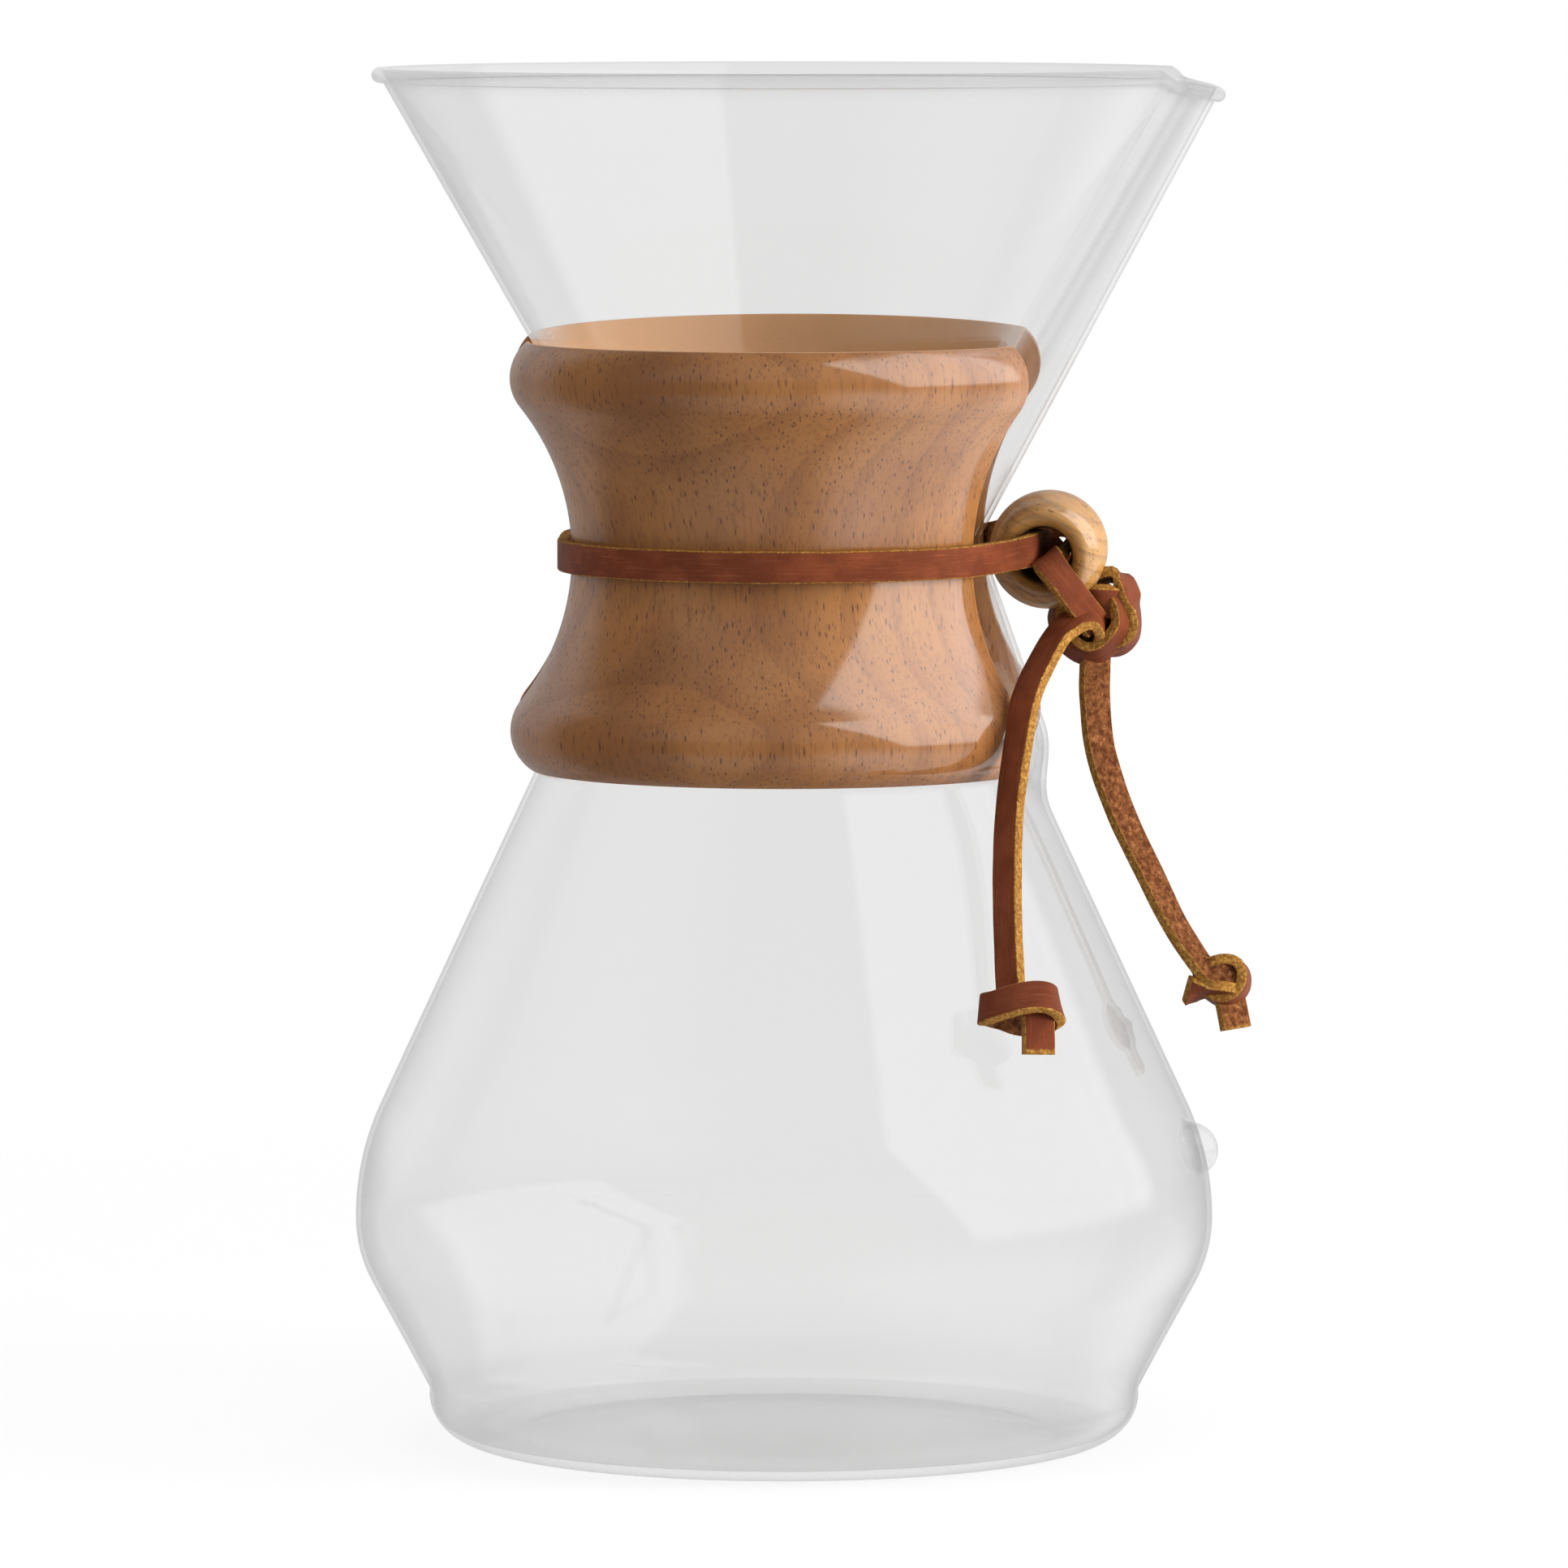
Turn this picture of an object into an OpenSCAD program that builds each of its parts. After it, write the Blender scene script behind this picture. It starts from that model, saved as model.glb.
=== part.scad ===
// Pour-over coffee maker: hourglass glass carafe, two-half wooden neck collar,
// leather lace tied round the collar through a wooden bead.
// The spout points along +X, the front of the collar along -Y, the base stands at z = 0.

/* [Carafe] */
// Height of the carafe, base to top of the rolled rim
carafe_h = 235; // [215:1:260]
// Outer radius of the rolled rim
rim_r = 71.2; // [64:0.1:78]
// Thickness of the rolled rim
rim_bead = 2.8; // [2.2:0.1:4]
// Thickness of the glass wall
wall = 2; // [1.4:0.1:2.6]
// Outer radius of the glass at the neck
neck_r = 27; // [24:0.5:30]
// Height of the narrowest part of the neck
neck_z = 154.6; // [148:0.1:160]
// Radius of the curve that joins funnel and flask at the neck
neck_round = 23; // [16:0.5:28]
// Outer radius of the flask at its widest
bulb_r = 73.9; // [68:0.1:80]
// Height of the widest part of the flask
bulb_z = 38.5; // [34:0.1:44]
// Radius of the flask's curve above its widest part
bulb_round_up = 46; // [36:1:56]
// Radius of the flask's curve below its widest part
bulb_round_low = 23; // [18:0.5:26]
// Outer radius of the foot
foot_r = 61.3; // [57:0.1:64]
// Height of the foot
foot_h = 9.3; // [8.6:0.1:11]
// Rounding under the edge of the foot
foot_round = 8; // [5:0.5:8.5]
// Thickness of the glass floor above the standing ring
floor_t = 3.2; // [2.6:0.1:4]
// Rounding inside, where the wall meets the floor
heel_round = 8; // [5:0.5:10]
// Inner radius of the standing ring under the base
ring_r = 46; // [36:1:50]
// Depth of the hollow inside the standing ring
ring_depth = 0.8; // [0.4:0.1:1.2]

/* [Spout and air channel] */
// Outer radius of the air channel
channel_r = 8.5; // [7.5:0.1:9.5]
// Depth of the channel's middle line inside the rim's outer edge
channel_top_in = 4.3; // [3.4:0.1:5.4]
// Depth of the channel's middle line inside the neck's surface
channel_neck_in = 2.5; // [1.6:0.1:3]
// Height of the channel's bend above the narrowest part of the neck
channel_bend_up = 1.9; // [0:0.1:4]
// Depth of the channel's middle line inside the flask's surface, at its lower end
channel_low_in = 3.6; // [3:0.1:4.5]
// How far below the neck the channel's lower end lies
channel_low_down = 33.6; // [30:0.1:37]
// How far the pouring lip dips below the rim
lip_dip = 2.8; // [1.6:0.1:3.4]
// How far the ends of the lip lie inside the channel's outer sides
lip_in = 0.2; // [0:0.1:0.6]

/* [Level button] */
// Radius of the glass button's dome
button_r = 4.7; // [4:0.1:6]
// Height of the button on the flask
button_z = 51.5; // [44:0.5:58]
// How far the button stands out from the flask
button_rise = 3.9; // [1.6:0.1:4.4]
// Turn of the button round the flask, from the spout
button_turn = -8; // [-20:1:20]

/* [Wooden collar] */
// How far the collar's waist sits below the narrowest part of the neck
collar_down = 1.8; // [0:0.1:4]
// Outer radius of the collar at its waist
waist_r = 36.5; // [34.5:0.1:39]
// Outer radius of the collar's two flared lips
flare_r = 47.1; // [46:0.1:50]
// Height of each lip's widest part above or below the waist
flare_dz = 30.3; // [28:0.1:31.5]
// Rounding of the lips
lip_round = 8; // [7:0.1:9]
// Gap between collar and glass
collar_fit = 0.4; // [0.3:0.05:0.8]
// Angle from the spout to each half's right end
notch_angle = 23.5; // [21:0.5:30]
// Angle from the side opposite the spout to each half's left end
kerf_angle = 3; // [2:0.5:8]
// How far the back half sits up on the funnel
back_lift = 0.5; // [0:0.1:0.6]
// Lean of the back half, its middle raised
back_lean = 2.5; // [0:0.1:2.5]
// How far the lift and the lean push the back half out
back_out = 3.8; // [3.6:0.1:6]

/* [Bead] */
// Outer radius of the bead
bead_r = 10.1; // [9:0.1:10.2]
// Radius of the bead's hole
bead_hole_r = 4.1; // [3.9:0.1:4.4]
// Thickness of the bead along its hole
bead_t = 14; // [11:0.5:16]
// Gap between the bead and the channel's glass
bead_gap = 0.4; // [0.3:0.1:0.8]
// Height of the bead's middle above the collar's waist
bead_up = 1; // [-1:0.1:3]
// Turn of the hole away from straight through, seen from above
bead_turn = 7; // [0:1:12]
// Rise of the hole towards the back
bead_rise = 8; // [0:1:12]

/* [Leather lace] */
// Width of the lace
lace_w = 5.4; // [4.6:0.1:5.6]
// Thickness of the lace
lace_t = 1.9; // [1.4:0.1:2.1]
// Gap between the lace and the wood it is tied round
lace_gap = 0.6; // [0.5:0.1:0.8]
// Length of the cut end past each end knot
stub_l = 7; // [5:0.5:10]

/* [Hidden] */
$fn = 64;
arc_step = 6;
past = 20;

glass_tint = [0.86, 0.9, 0.9, 0.45];
collar_wood = [0.68, 0.47, 0.29];
bead_wood = [0.78, 0.62, 0.4];
leather = [0.55, 0.3, 0.2];

function along(a) = [cos(a), sin(a)];
function arc(c, r, a0, a1) =
    let (n = max(2, ceil(abs(a1 - a0) / arc_step)))
    [for (i = [0 : n]) c + r * along(a0 + (a1 - a0) * i / n)];

// Outline of the glass in (radius, height): circles joined by their common tangents
rim_c = [rim_r - rim_bead / 2, carafe_h - rim_bead / 2];
neck_c = [neck_r + neck_round, neck_z];
bulb_up_c = [bulb_r - bulb_round_up, bulb_z];
bulb_low_c = [bulb_r - bulb_round_low, bulb_z];
foot_top = [foot_r, foot_h];

function heading(v) = atan2(v[1], v[0]);
funnel_a = heading(rim_c - neck_c) + acos(neck_round / norm(rim_c - neck_c));
flank_v = bulb_up_c - neck_c;
flank_a = heading(flank_v) + 360 - acos((neck_round + bulb_round_up) / norm(flank_v));
heel_v = foot_top - bulb_low_c;
heel_a = heading(heel_v) + acos(bulb_round_low / norm(heel_v));

// The same outline set in by a depth; a depth below zero sets it out
function shell(depth) = concat(
    arc(bulb_low_c, bulb_round_low - depth, heel_a, 0),
    arc(bulb_up_c, bulb_round_up - depth, 0, flank_a - 180),
    arc(neck_c, neck_round + depth, flank_a, funnel_a));
function rim_end(depth, more) =
    rim_c + depth * along(funnel_a) + more * along(funnel_a - 90);

// Where the inner wall would meet the floor, and the rounding that replaces that corner
heel_in = bulb_low_c + (bulb_round_low - wall) * along(heel_a);
heel_drop = (heel_in[1] - floor_t) / cos(heel_a);
heel_corner = heel_in + heel_drop * along(heel_a - 90);
heel_run = heel_round * tan((90 + heel_a) / 2);
heel_c = [heel_corner[0] - heel_run, floor_t + heel_round];

glass_outline = concat(
    [[0, ring_depth], [ring_r, ring_depth], [ring_r + 2 * ring_depth, 0]],
    arc([foot_r - foot_round, foot_round], foot_round, -90, 0),
    [foot_top],
    shell(0),
    [rim_end(0, 0), rim_end(wall, 0), [0, rim_end(wall, 0)[1]]]);
hollow_outline = concat(
    [[0, floor_t]],
    arc(heel_c, heel_round, -90, heel_a),
    shell(wall),
    [rim_end(wall, past), [0, rim_end(wall, past)[1]]]);

// Channel: two straight runs that meet at the neck, in a bend a little wider than they are
bend_swell = 0.2;
flank_top = neck_c + neck_round * along(flank_a);
channel_low_z = neck_z - channel_low_down;
flank_x = flank_top[0] + (flank_top[1] - channel_low_z) * tan(flank_a - 180);
channel_top = [rim_r - channel_top_in, rim_c[1]];
channel_neck = [neck_r - channel_neck_in, neck_z + channel_bend_up];
channel_low = [flank_x - channel_low_in, channel_low_z];
channel_rise = heading(channel_top - channel_neck);
channel_fall = heading(channel_low - channel_neck);

// Pouring lip: an arc in a plane that tips down from the rim circle
lip_half_w = channel_r - lip_in;
lip_x = sqrt(rim_c[0] * rim_c[0] - lip_half_w * lip_half_w);
lip_reach = channel_top[0] - lip_dip / tan(channel_rise)
    + (channel_r - wall / 2) / sin(channel_rise) - lip_x;
lip_tip = atan(lip_dip / lip_reach);
lip_run = norm([lip_reach, lip_dip]);
lip_arc_r = (lip_run * lip_run + lip_half_w * lip_half_w) / (2 * lip_run);
lip_half_a = atan2(lip_half_w, lip_arc_r - lip_run);
rim_gap_a = asin(lip_half_w / rim_c[0]);
rim_swell = 0.2;

module channel(r) {
    top_run = norm(channel_top - channel_neck);
    low_run = norm(channel_low - channel_neck);
    translate([channel_neck[0], 0, channel_neck[1]]) {
        sphere(r = r + bend_swell);
        rotate([0, 90 - channel_rise, 0]) cylinder(r = r, h = top_run + past);
        rotate([0, 90 - channel_fall, 0]) rotate_extrude()
            polygon(concat([[0, 0], [r, 0]], arc([0, low_run], r, 0, 90)));
    }
}

module above_lip() {
    translate([-2 * rim_r, -2 * rim_r, rim_c[1]]) cube([4 * rim_r, 4 * rim_r, 2 * past]);
    translate([lip_x, 0, rim_c[1]]) rotate([0, lip_tip, 0])
        translate([0, -rim_r, 0]) cube([rim_r, 2 * rim_r, 2 * past]);
}

module rolled_rim() {
    rotate([0, 0, rim_gap_a]) rotate_extrude(angle = 360 - 2 * rim_gap_a)
        translate(rim_c) circle(d = rim_bead);
    translate([lip_x, 0, rim_c[1]]) rotate([0, lip_tip, 0]) translate([lip_run - lip_arc_r, 0, 0])
        rotate([0, 0, -lip_half_a]) rotate_extrude(angle = 2 * lip_half_a)
            translate([lip_arc_r, 0]) circle(d = rim_bead);
    for (side = [-1, 1])
        translate([lip_x, side * lip_half_w, rim_c[1]]) sphere(d = rim_bead + rim_swell);
}

module level_button() {
    flask_r = bulb_up_c[0] + sqrt(pow(bulb_round_up, 2) - pow(button_z - bulb_z, 2));
    rotate([0, 0, button_turn]) translate([flask_r + button_rise - button_r, 0, button_z])
        sphere(r = button_r);
}

module glass_carafe() {
    color(glass_tint) {
        difference() {
            union() {
                rotate_extrude() polygon(glass_outline);
                difference() {
                    channel(channel_r);
                    above_lip();
                }
                level_button();
            }
            rotate_extrude() polygon(hollow_outline);
            channel(channel_r - wall);
        }
        rolled_rim();
    }
}

// Collar profile: two rounded lips joined by one hollow curve
collar_z = neck_z - collar_down;
lip_c = [flare_r - lip_round, flare_dz];
waist_d = waist_r - lip_c[0];
waist_round = (waist_d * waist_d + flare_dz * flare_dz - lip_round * lip_round)
    / (2 * (lip_round - waist_d));
waist_c = [waist_r + waist_round, 0];
flare_a = heading(lip_c - waist_c);
function flip(points) = [for (i = [len(points) - 1 : -1 : 0]) [points[i][0], -points[i][1]]];
upper_half = concat(
    arc(waist_c, waist_round, 180, flare_a),
    arc(lip_c, lip_round, flare_a - 180, 90));
collar_outline = concat(
    [[neck_r / 2, -flare_dz - lip_round]],
    flip(upper_half),
    upper_half,
    [[neck_r / 2, flare_dz + lip_round]]);
seat_outline = concat(
    [[0, bulb_z]],
    shell(-collar_fit),
    [rim_end(-collar_fit, past), [0, rim_end(-collar_fit, past)[1]]]);

// One half, its cut faces at the notch for the channel and at the kerf opposite
module collar_half() {
    difference() {
        translate([0, 0, collar_z]) rotate([0, 0, kerf_angle - 180])
            rotate_extrude(angle = 180 - notch_angle - kerf_angle) polygon(collar_outline);
        rotate_extrude() polygon(seat_outline);
    }
}

module collar_front() {
    color(collar_wood) collar_half();
}

module collar_back() {
    color(collar_wood)
        translate([0, back_out, collar_z + back_lift]) rotate([back_lean, 0, 0])
            translate([0, 0, -collar_z]) mirror([0, 1, 0]) collar_half();
}

// Bead: a ring of oval section, its hole running nearly front to back
bead_z = collar_z + bead_up;
function bead_x(out) = channel_neck[0]
    + (channel_r + bead_gap + bead_r - (bead_z - channel_neck[1]) * out[1]) / out[0];
bead_c = [max(bead_x(along(channel_rise - 90)), bead_x(along(channel_fall + 90))), 0, bead_z];
bead_axis = [sin(bead_turn) * cos(bead_rise), cos(bead_turn) * cos(bead_rise), sin(bead_rise)];
bead_mid_r = (bead_r + bead_hole_r) / 2;
bead_half_w = (bead_r - bead_hole_r) / 2;

module tie_bead() {
    color(bead_wood)
        translate(bead_c) rotate([0, 0, -bead_turn]) rotate([bead_rise - 90, 0, 0])
            rotate_extrude()
                polygon([for (a = [0 : arc_step : 359])
                    [bead_mid_r + bead_half_w * cos(a), bead_t / 2 * sin(a)]]);
}

// Flat lace: one ring of eight corners at each point, its width set by a side direction
lace_edge = lace_t / 4;
lace_ring = [
    [lace_w / 2, lace_t / 2 - lace_edge], [lace_w / 2 - lace_edge, lace_t / 2],
    [lace_edge - lace_w / 2, lace_t / 2], [-lace_w / 2, lace_t / 2 - lace_edge],
    [-lace_w / 2, lace_edge - lace_t / 2], [lace_edge - lace_w / 2, -lace_t / 2],
    [lace_w / 2 - lace_edge, -lace_t / 2], [lace_w / 2, lace_edge - lace_t / 2]];

function unit(v) = v / norm(v);
function run_dir(route, i) =
    unit(route[min(i + 1, len(route) - 1)] - route[max(i - 1, 0)]);
function square_to(v, dir) = unit(v - (v * dir) * dir);
function ring_at(p, dir, side) =
    let (s = square_to(side, dir), n = cross(dir, s))
    [for (q = lace_ring) p + q[0] * s + q[1] * n];

module lace(route, sides) {
    rings = len(route);
    k = len(lace_ring);
    points = [for (i = [0 : rings - 1]) each ring_at(route[i], run_dir(route, i), sides[i])];
    walls = [for (i = [0 : rings - 2]) for (j = [0 : k - 1])
        let (a = i * k + j, b = i * k + (j + 1) % k)
        each [[a, a + k, b + k], [a, b + k, b]]];
    start_cap = [for (j = [1 : k - 2]) [0, j, j + 1]];
    last = (rings - 1) * k;
    end_cap = [for (j = [1 : k - 2]) [last, last + j + 1, last + j]];
    polyhedron(points = points, faces = concat(walls, start_cap, end_cap));
}

// Points midway on a smooth curve through the chosen points
function curve_at(p, i, t) =
    let (n = len(p) - 1, a = p[max(i - 1, 0)], b = p[i], c = p[i + 1], d = p[min(i + 2, n)])
    b + t * (c - a) / 2 + t * t * (2 * a - 5 * b + 4 * c - d) / 2
        + t * t * t * (3 * b - a - 3 * c + d) / 2;
function smooth(p, cuts) = concat(
    [for (i = [0 : len(p) - 2]) for (j = [0 : cuts - 1]) curve_at(p, i, j / cuts)],
    [p[len(p) - 1]]);

// Band: out of the bead, round the waist of the front half, then of the back half
band_r = waist_r + lace_t / 2 + lace_gap;
band_step = 8;
band_lead = 6;
front_arc = [for (a = [-notch_angle - band_lead : -band_step : kerf_angle - 180])
    [band_r * cos(a), band_r * sin(a), collar_z]];
function on_back(p) = [p[0],
    back_out + p[1] * cos(back_lean) - (p[2] - collar_z) * sin(back_lean),
    collar_z + back_lift + p[1] * sin(back_lean) + (p[2] - collar_z) * cos(back_lean)];
back_arc = [for (i = [len(front_arc) - 1 : -1 : 0])
    on_back([front_arc[i][0], -front_arc[i][1], collar_z])];
upright = [0, 0, 1];
leaning = [0, -sin(back_lean), cos(back_lean)];
bead_across = unit(cross(bead_axis, upright));
bead_over = cross(bead_across, bead_axis);
function in_bead(across, back, up) =
    bead_c + across * bead_across + back * bead_axis + up * bead_over;
strand_gap = 0.6;
hole_up = (lace_t + strand_gap) / 2;
mouth = bead_t / 2 + lace_gap;
turn = mouth + lace_t;
clear = mouth + 2 * lace_t;
knot_c = [55, -1, 141];

into_front = [knot_c + [1, 3.5, 3.5], in_bead(7.5, turn, -7.5), in_bead(3.5, clear, -2.5),
    in_bead(1, mouth, hole_up), in_bead(0, 0, hole_up), in_bead(-1, -mouth, hole_up),
    in_bead(-5.2, -clear, 0.2)];
out_back = [in_bead(-5.2, clear, 0.4), in_bead(-1, mouth, -hole_up), in_bead(0, 0, -hole_up),
    in_bead(1, -mouth, -hole_up), in_bead(3.5, -turn, -3.5), in_bead(8, -mouth, -8.5),
    knot_c + [-2, -4, 3.5]];
band_route = concat(into_front, front_arc, back_arc, out_back);
level = bead_across;
band_sides = concat(
    [level, level, level, level, level, level + 0.4 * upright, upright],
    [for (p = front_arc) upright],
    [for (p = back_arc) leaning],
    [upright, 0.4 * upright - level, -level, -level, -level, -level, -level]);

module tie_band() {
    color(leather) lace(band_route, band_sides);
}

// Main knot: a long wrap and a short one, crossing round a round core
knot_w = 16;
knot_d = 10;
knot_turn = 40;
module oblong(w, d, h) {
    translate([0, 0, -h / 2]) linear_extrude(h) {
        square([w - d, d], center = true);
        for (side = [-1, 1]) translate([side * (w - d) / 2, 0]) circle(d = d);
    }
}

module tie_knot() {
    color(leather) translate(knot_c) {
        rotate([0, -knot_turn, 0]) oblong(knot_w, knot_d, lace_w);
        rotate([0, 90 - knot_turn, 0]) oblong(knot_d, knot_d - lace_t, lace_w);
        rotate([90, 0, 0]) cylinder(d = knot_d, h = knot_d - lace_t / 2, center = true);
    }
}

// Free ends of the lace
tail_left_points = [[50.5, -7.6, 141], [46.5, -12, 138], [43, -21, 130.5], [42, -28, 124],
    [40.5, -32, 111], [40.5, -38.5, 97.5], [42, -46, 84], [43, -50, 79.5]];
tail_left_side = [0.76, -0.65, 0];
tail_right_points = [[53.5, 0, 133.5], [53.5, 0, 128], [54.5, 0, 119], [58, 0, 108.5],
    [63, 0, 98], [67.5, 0, 89], [72.5, 0, 81.5], [74.5, 0, 79.5]];
tail_right_side = [0.82, 0.57, 0];
tail_cuts = 2;

module tail(points, side) {
    route = smooth(points, tail_cuts);
    lace(route, [for (p = route) side]);
}

module tail_left() {
    color(leather) tail(tail_left_points, tail_left_side);
}

module tail_right() {
    color(leather) tail(tail_right_points, tail_right_side);
}

// End knot: one wrap round the tail with the cut end below it
end_knot_d = 8;
stub_in = 1;
module end_knot(w) {
    oblong(w, end_knot_d, lace_w);
    translate([w / 4 - lace_w / 2, (lace_t - end_knot_d) / 2, -lace_w / 2 - stub_l])
        cube([lace_w - stub_in, lace_t, stub_l + lace_w / 2]);
}

end_left_w = 14;
end_left_c = [43.5, -51, 78.5];
end_left_turn = [-18, 8, 22];
module end_knot_left() {
    color(leather) translate(end_left_c) rotate(end_left_turn) end_knot(end_left_w);
}

end_right_w = 12;
end_right_c = [75, 0.5, 78.5];
end_right_turn = [0, -18, 0];
module end_knot_right() {
    color(leather) translate(end_right_c) rotate(end_right_turn) end_knot(end_right_w);
}

glass_carafe();
collar_front();
collar_back();
tie_bead();
tie_band();
tie_knot();
tail_left();
tail_right();
end_knot_left();
end_knot_right();
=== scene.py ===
import math

import bpy
import numpy as np
from mathutils import Matrix, Vector


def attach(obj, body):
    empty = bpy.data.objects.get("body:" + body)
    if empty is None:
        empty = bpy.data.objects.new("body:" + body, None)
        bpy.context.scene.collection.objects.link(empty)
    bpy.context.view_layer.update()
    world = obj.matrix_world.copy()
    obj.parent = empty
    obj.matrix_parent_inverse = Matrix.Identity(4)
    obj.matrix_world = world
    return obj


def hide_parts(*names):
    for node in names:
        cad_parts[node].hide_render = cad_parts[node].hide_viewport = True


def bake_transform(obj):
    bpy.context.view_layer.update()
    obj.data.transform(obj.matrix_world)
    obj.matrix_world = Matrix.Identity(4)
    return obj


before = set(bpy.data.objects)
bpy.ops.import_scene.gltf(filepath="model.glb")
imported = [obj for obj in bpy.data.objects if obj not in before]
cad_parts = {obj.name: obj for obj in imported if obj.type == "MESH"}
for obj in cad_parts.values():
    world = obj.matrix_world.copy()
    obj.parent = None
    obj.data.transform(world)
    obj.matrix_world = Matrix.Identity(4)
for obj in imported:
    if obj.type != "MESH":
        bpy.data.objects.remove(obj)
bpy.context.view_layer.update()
scene = bpy.context.scene
scene.view_settings.view_transform = "Standard"
scene.cycles.max_bounces = 32  # light crosses many walls of glass
scene.cycles.glossy_bounces = 20
scene.cycles.transmission_bounces = 32
scene.cycles.transparent_max_bounces = 32
print("frame loaded with", len(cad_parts), "solids")

# camera, at the place the photograph was taken from
view = {"distance": 1.825, "height": 0.265, "azimuth": 4.2, "aim": 0.1131, "lens": 244.2, "sensor": 36.0}


def placeCamera():
    turn = math.radians(view["azimuth"])
    place = Vector((math.sin(turn) * view["distance"], -math.cos(turn) * view["distance"], view["height"]))
    data = bpy.data.cameras.new("camera")
    data.lens = view["lens"]
    data.sensor_width = view["sensor"]
    data.clip_end = 20.0
    made = bpy.data.objects.new("camera", data)
    scene.collection.objects.link(made)
    made.location = place
    made.rotation_euler = (Vector((0, 0, view["aim"])) - place).to_track_quat("-Z", "Y").to_euler()
    scene.camera = made


placeCamera()
print("camera placed")


# shader maths as expressions
class Wire:
    def __init__(self, tree, socket=None):
        self.tree = tree
        self.socket = socket

    def node(self, kind, settings=None, sockets=None, out=0):
        made = self.tree.nodes.new(kind)
        for key, value in (settings or {}).items():
            setattr(made, key, value)
        for key, value in (sockets or {}).items():
            self.feed(made.inputs[key], value)
        return Wire(self.tree, made.outputs[out])

    def feed(self, target, value):
        if isinstance(value, Wire):
            self.tree.links.new(value.socket, target)
        else:
            target.default_value = value

    def out(self, name):
        return Wire(self.tree, self.socket.node.outputs[name])

    def fact(self, name):
        return self.node("ShaderNodeAttribute", {"attribute_name": name}, out="Fac")

    def maths(self, operation, a, b=0.0):
        return self.node("ShaderNodeMath", {"operation": operation}, {0: a, 1: b})

    def mix(self, share, a, b):
        return self.node("ShaderNodeMix", {"data_type": "RGBA"}, {0: share, 6: a, 7: b}, 2)

    def noise(self, place, scale, detail, roughness=0.5):
        return self.node("ShaderNodeTexNoise", {}, {"Vector": place, "Scale": scale, "Detail": detail,
                                                    "Roughness": roughness})

    def ease(self, value, low, high, start=0.0, end=1.0):
        return self.node("ShaderNodeMapRange", {"interpolation_type": "SMOOTHSTEP"},
                         {"Value": value, "From Min": low, "From Max": high,
                          "To Min": start, "To Max": end})

    def layer(self, share, a, b):
        return self.node("ShaderNodeMixShader", {}, {0: share, 1: a, 2: b})

    def stretch(self, place, scale):
        return self.node("ShaderNodeMapping", {}, {"Vector": place, "Scale": scale})

    def bump(self, height, strength, deep):
        return self.node("ShaderNodeBump", {}, {"Height": height, "Strength": strength, "Distance": deep})

    def __add__(self, other):
        return self.maths("ADD", self, other)

    def __sub__(self, other):
        return self.maths("SUBTRACT", self, other)

    def __rsub__(self, other):
        return self.maths("SUBTRACT", other, self)

    def __mul__(self, other):
        return self.maths("MULTIPLY", self, other)

    def __truediv__(self, other):
        return self.maths("DIVIDE", self, other)

    def __pow__(self, other):
        return self.maths("POWER", self, other)

    __radd__ = __add__
    __rmul__ = __mul__


# a colour as a picture shows it, made linear
def tone(red, green, blue):
    linear = [((c / 255 + 0.055) / 1.055) ** 2.4 if c > 10 else c / 3294.6 for c in (red, green, blue)]
    return (*linear, 1.0)


def newMaterial(name):
    made = bpy.data.materials.new(name)
    made.use_nodes = True
    return made, made.node_tree.nodes["Principled BSDF"], Wire(made.node_tree)


def setSurface(shader, wire, sockets):
    for key, value in sockets.items():
        wire.feed(shader.inputs[key], value)


def setOutput(material, whole):
    material.node_tree.links.new(whole.socket, material.node_tree.nodes["Material Output"].inputs["Surface"])


# one flat lace, modelled as strips that follow their routes
lace = {"width": 0.0054, "thick": 0.0019, "grainRound": 0.0004, "backRound": 0.00025,
        "roundTurns": (65, 40, 15), "step": 0.0006, "fine": 32, "waver": 0.01, "longWave": 0.0031,
        "shortWave": 0.00127, "shortShare": 0.7, "shortStart": 1.3, "worn": 0.0011,
        "capWide": 0.97, "capThick": 0.93, "capOut": 6e-5, "crisp": 50}


# a corner of the section: across, up, how raw the cut is there, how much is flesh side
def laceRing():
    half, up = lace["width"] / 2, lace["thick"] / 2
    top, low = lace["grainRound"], lace["backRound"]
    right = [(half - top, up, 0.0, 0.0)]
    for angle in lace["roundTurns"]:
        turn = math.radians(angle)
        right.append((half - top + top * math.cos(turn), up - top + top * math.sin(turn), 1 - angle / 90, 0.0))
    right += [(half, 0.0, 1.0, 0.5), (half, low - up, 1.0, 0.5)]
    right += [(half - 0.3 * low, 0.3 * low - up, 0.7, 0.8), (half - low, -up, 0.1, 1.0)]
    grain = [(share * (half - top), up, 0.0, 0.0) for share in (-0.5, 0.0, 0.5)]
    back = [(share * (half - low), -up, 0.0, 1.0) for share in (0.5, 0.0, -0.5)]
    left = [(-x, y, edge, nap) for x, y, edge, nap in reversed(right)]
    return grain + right + back + left


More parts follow.
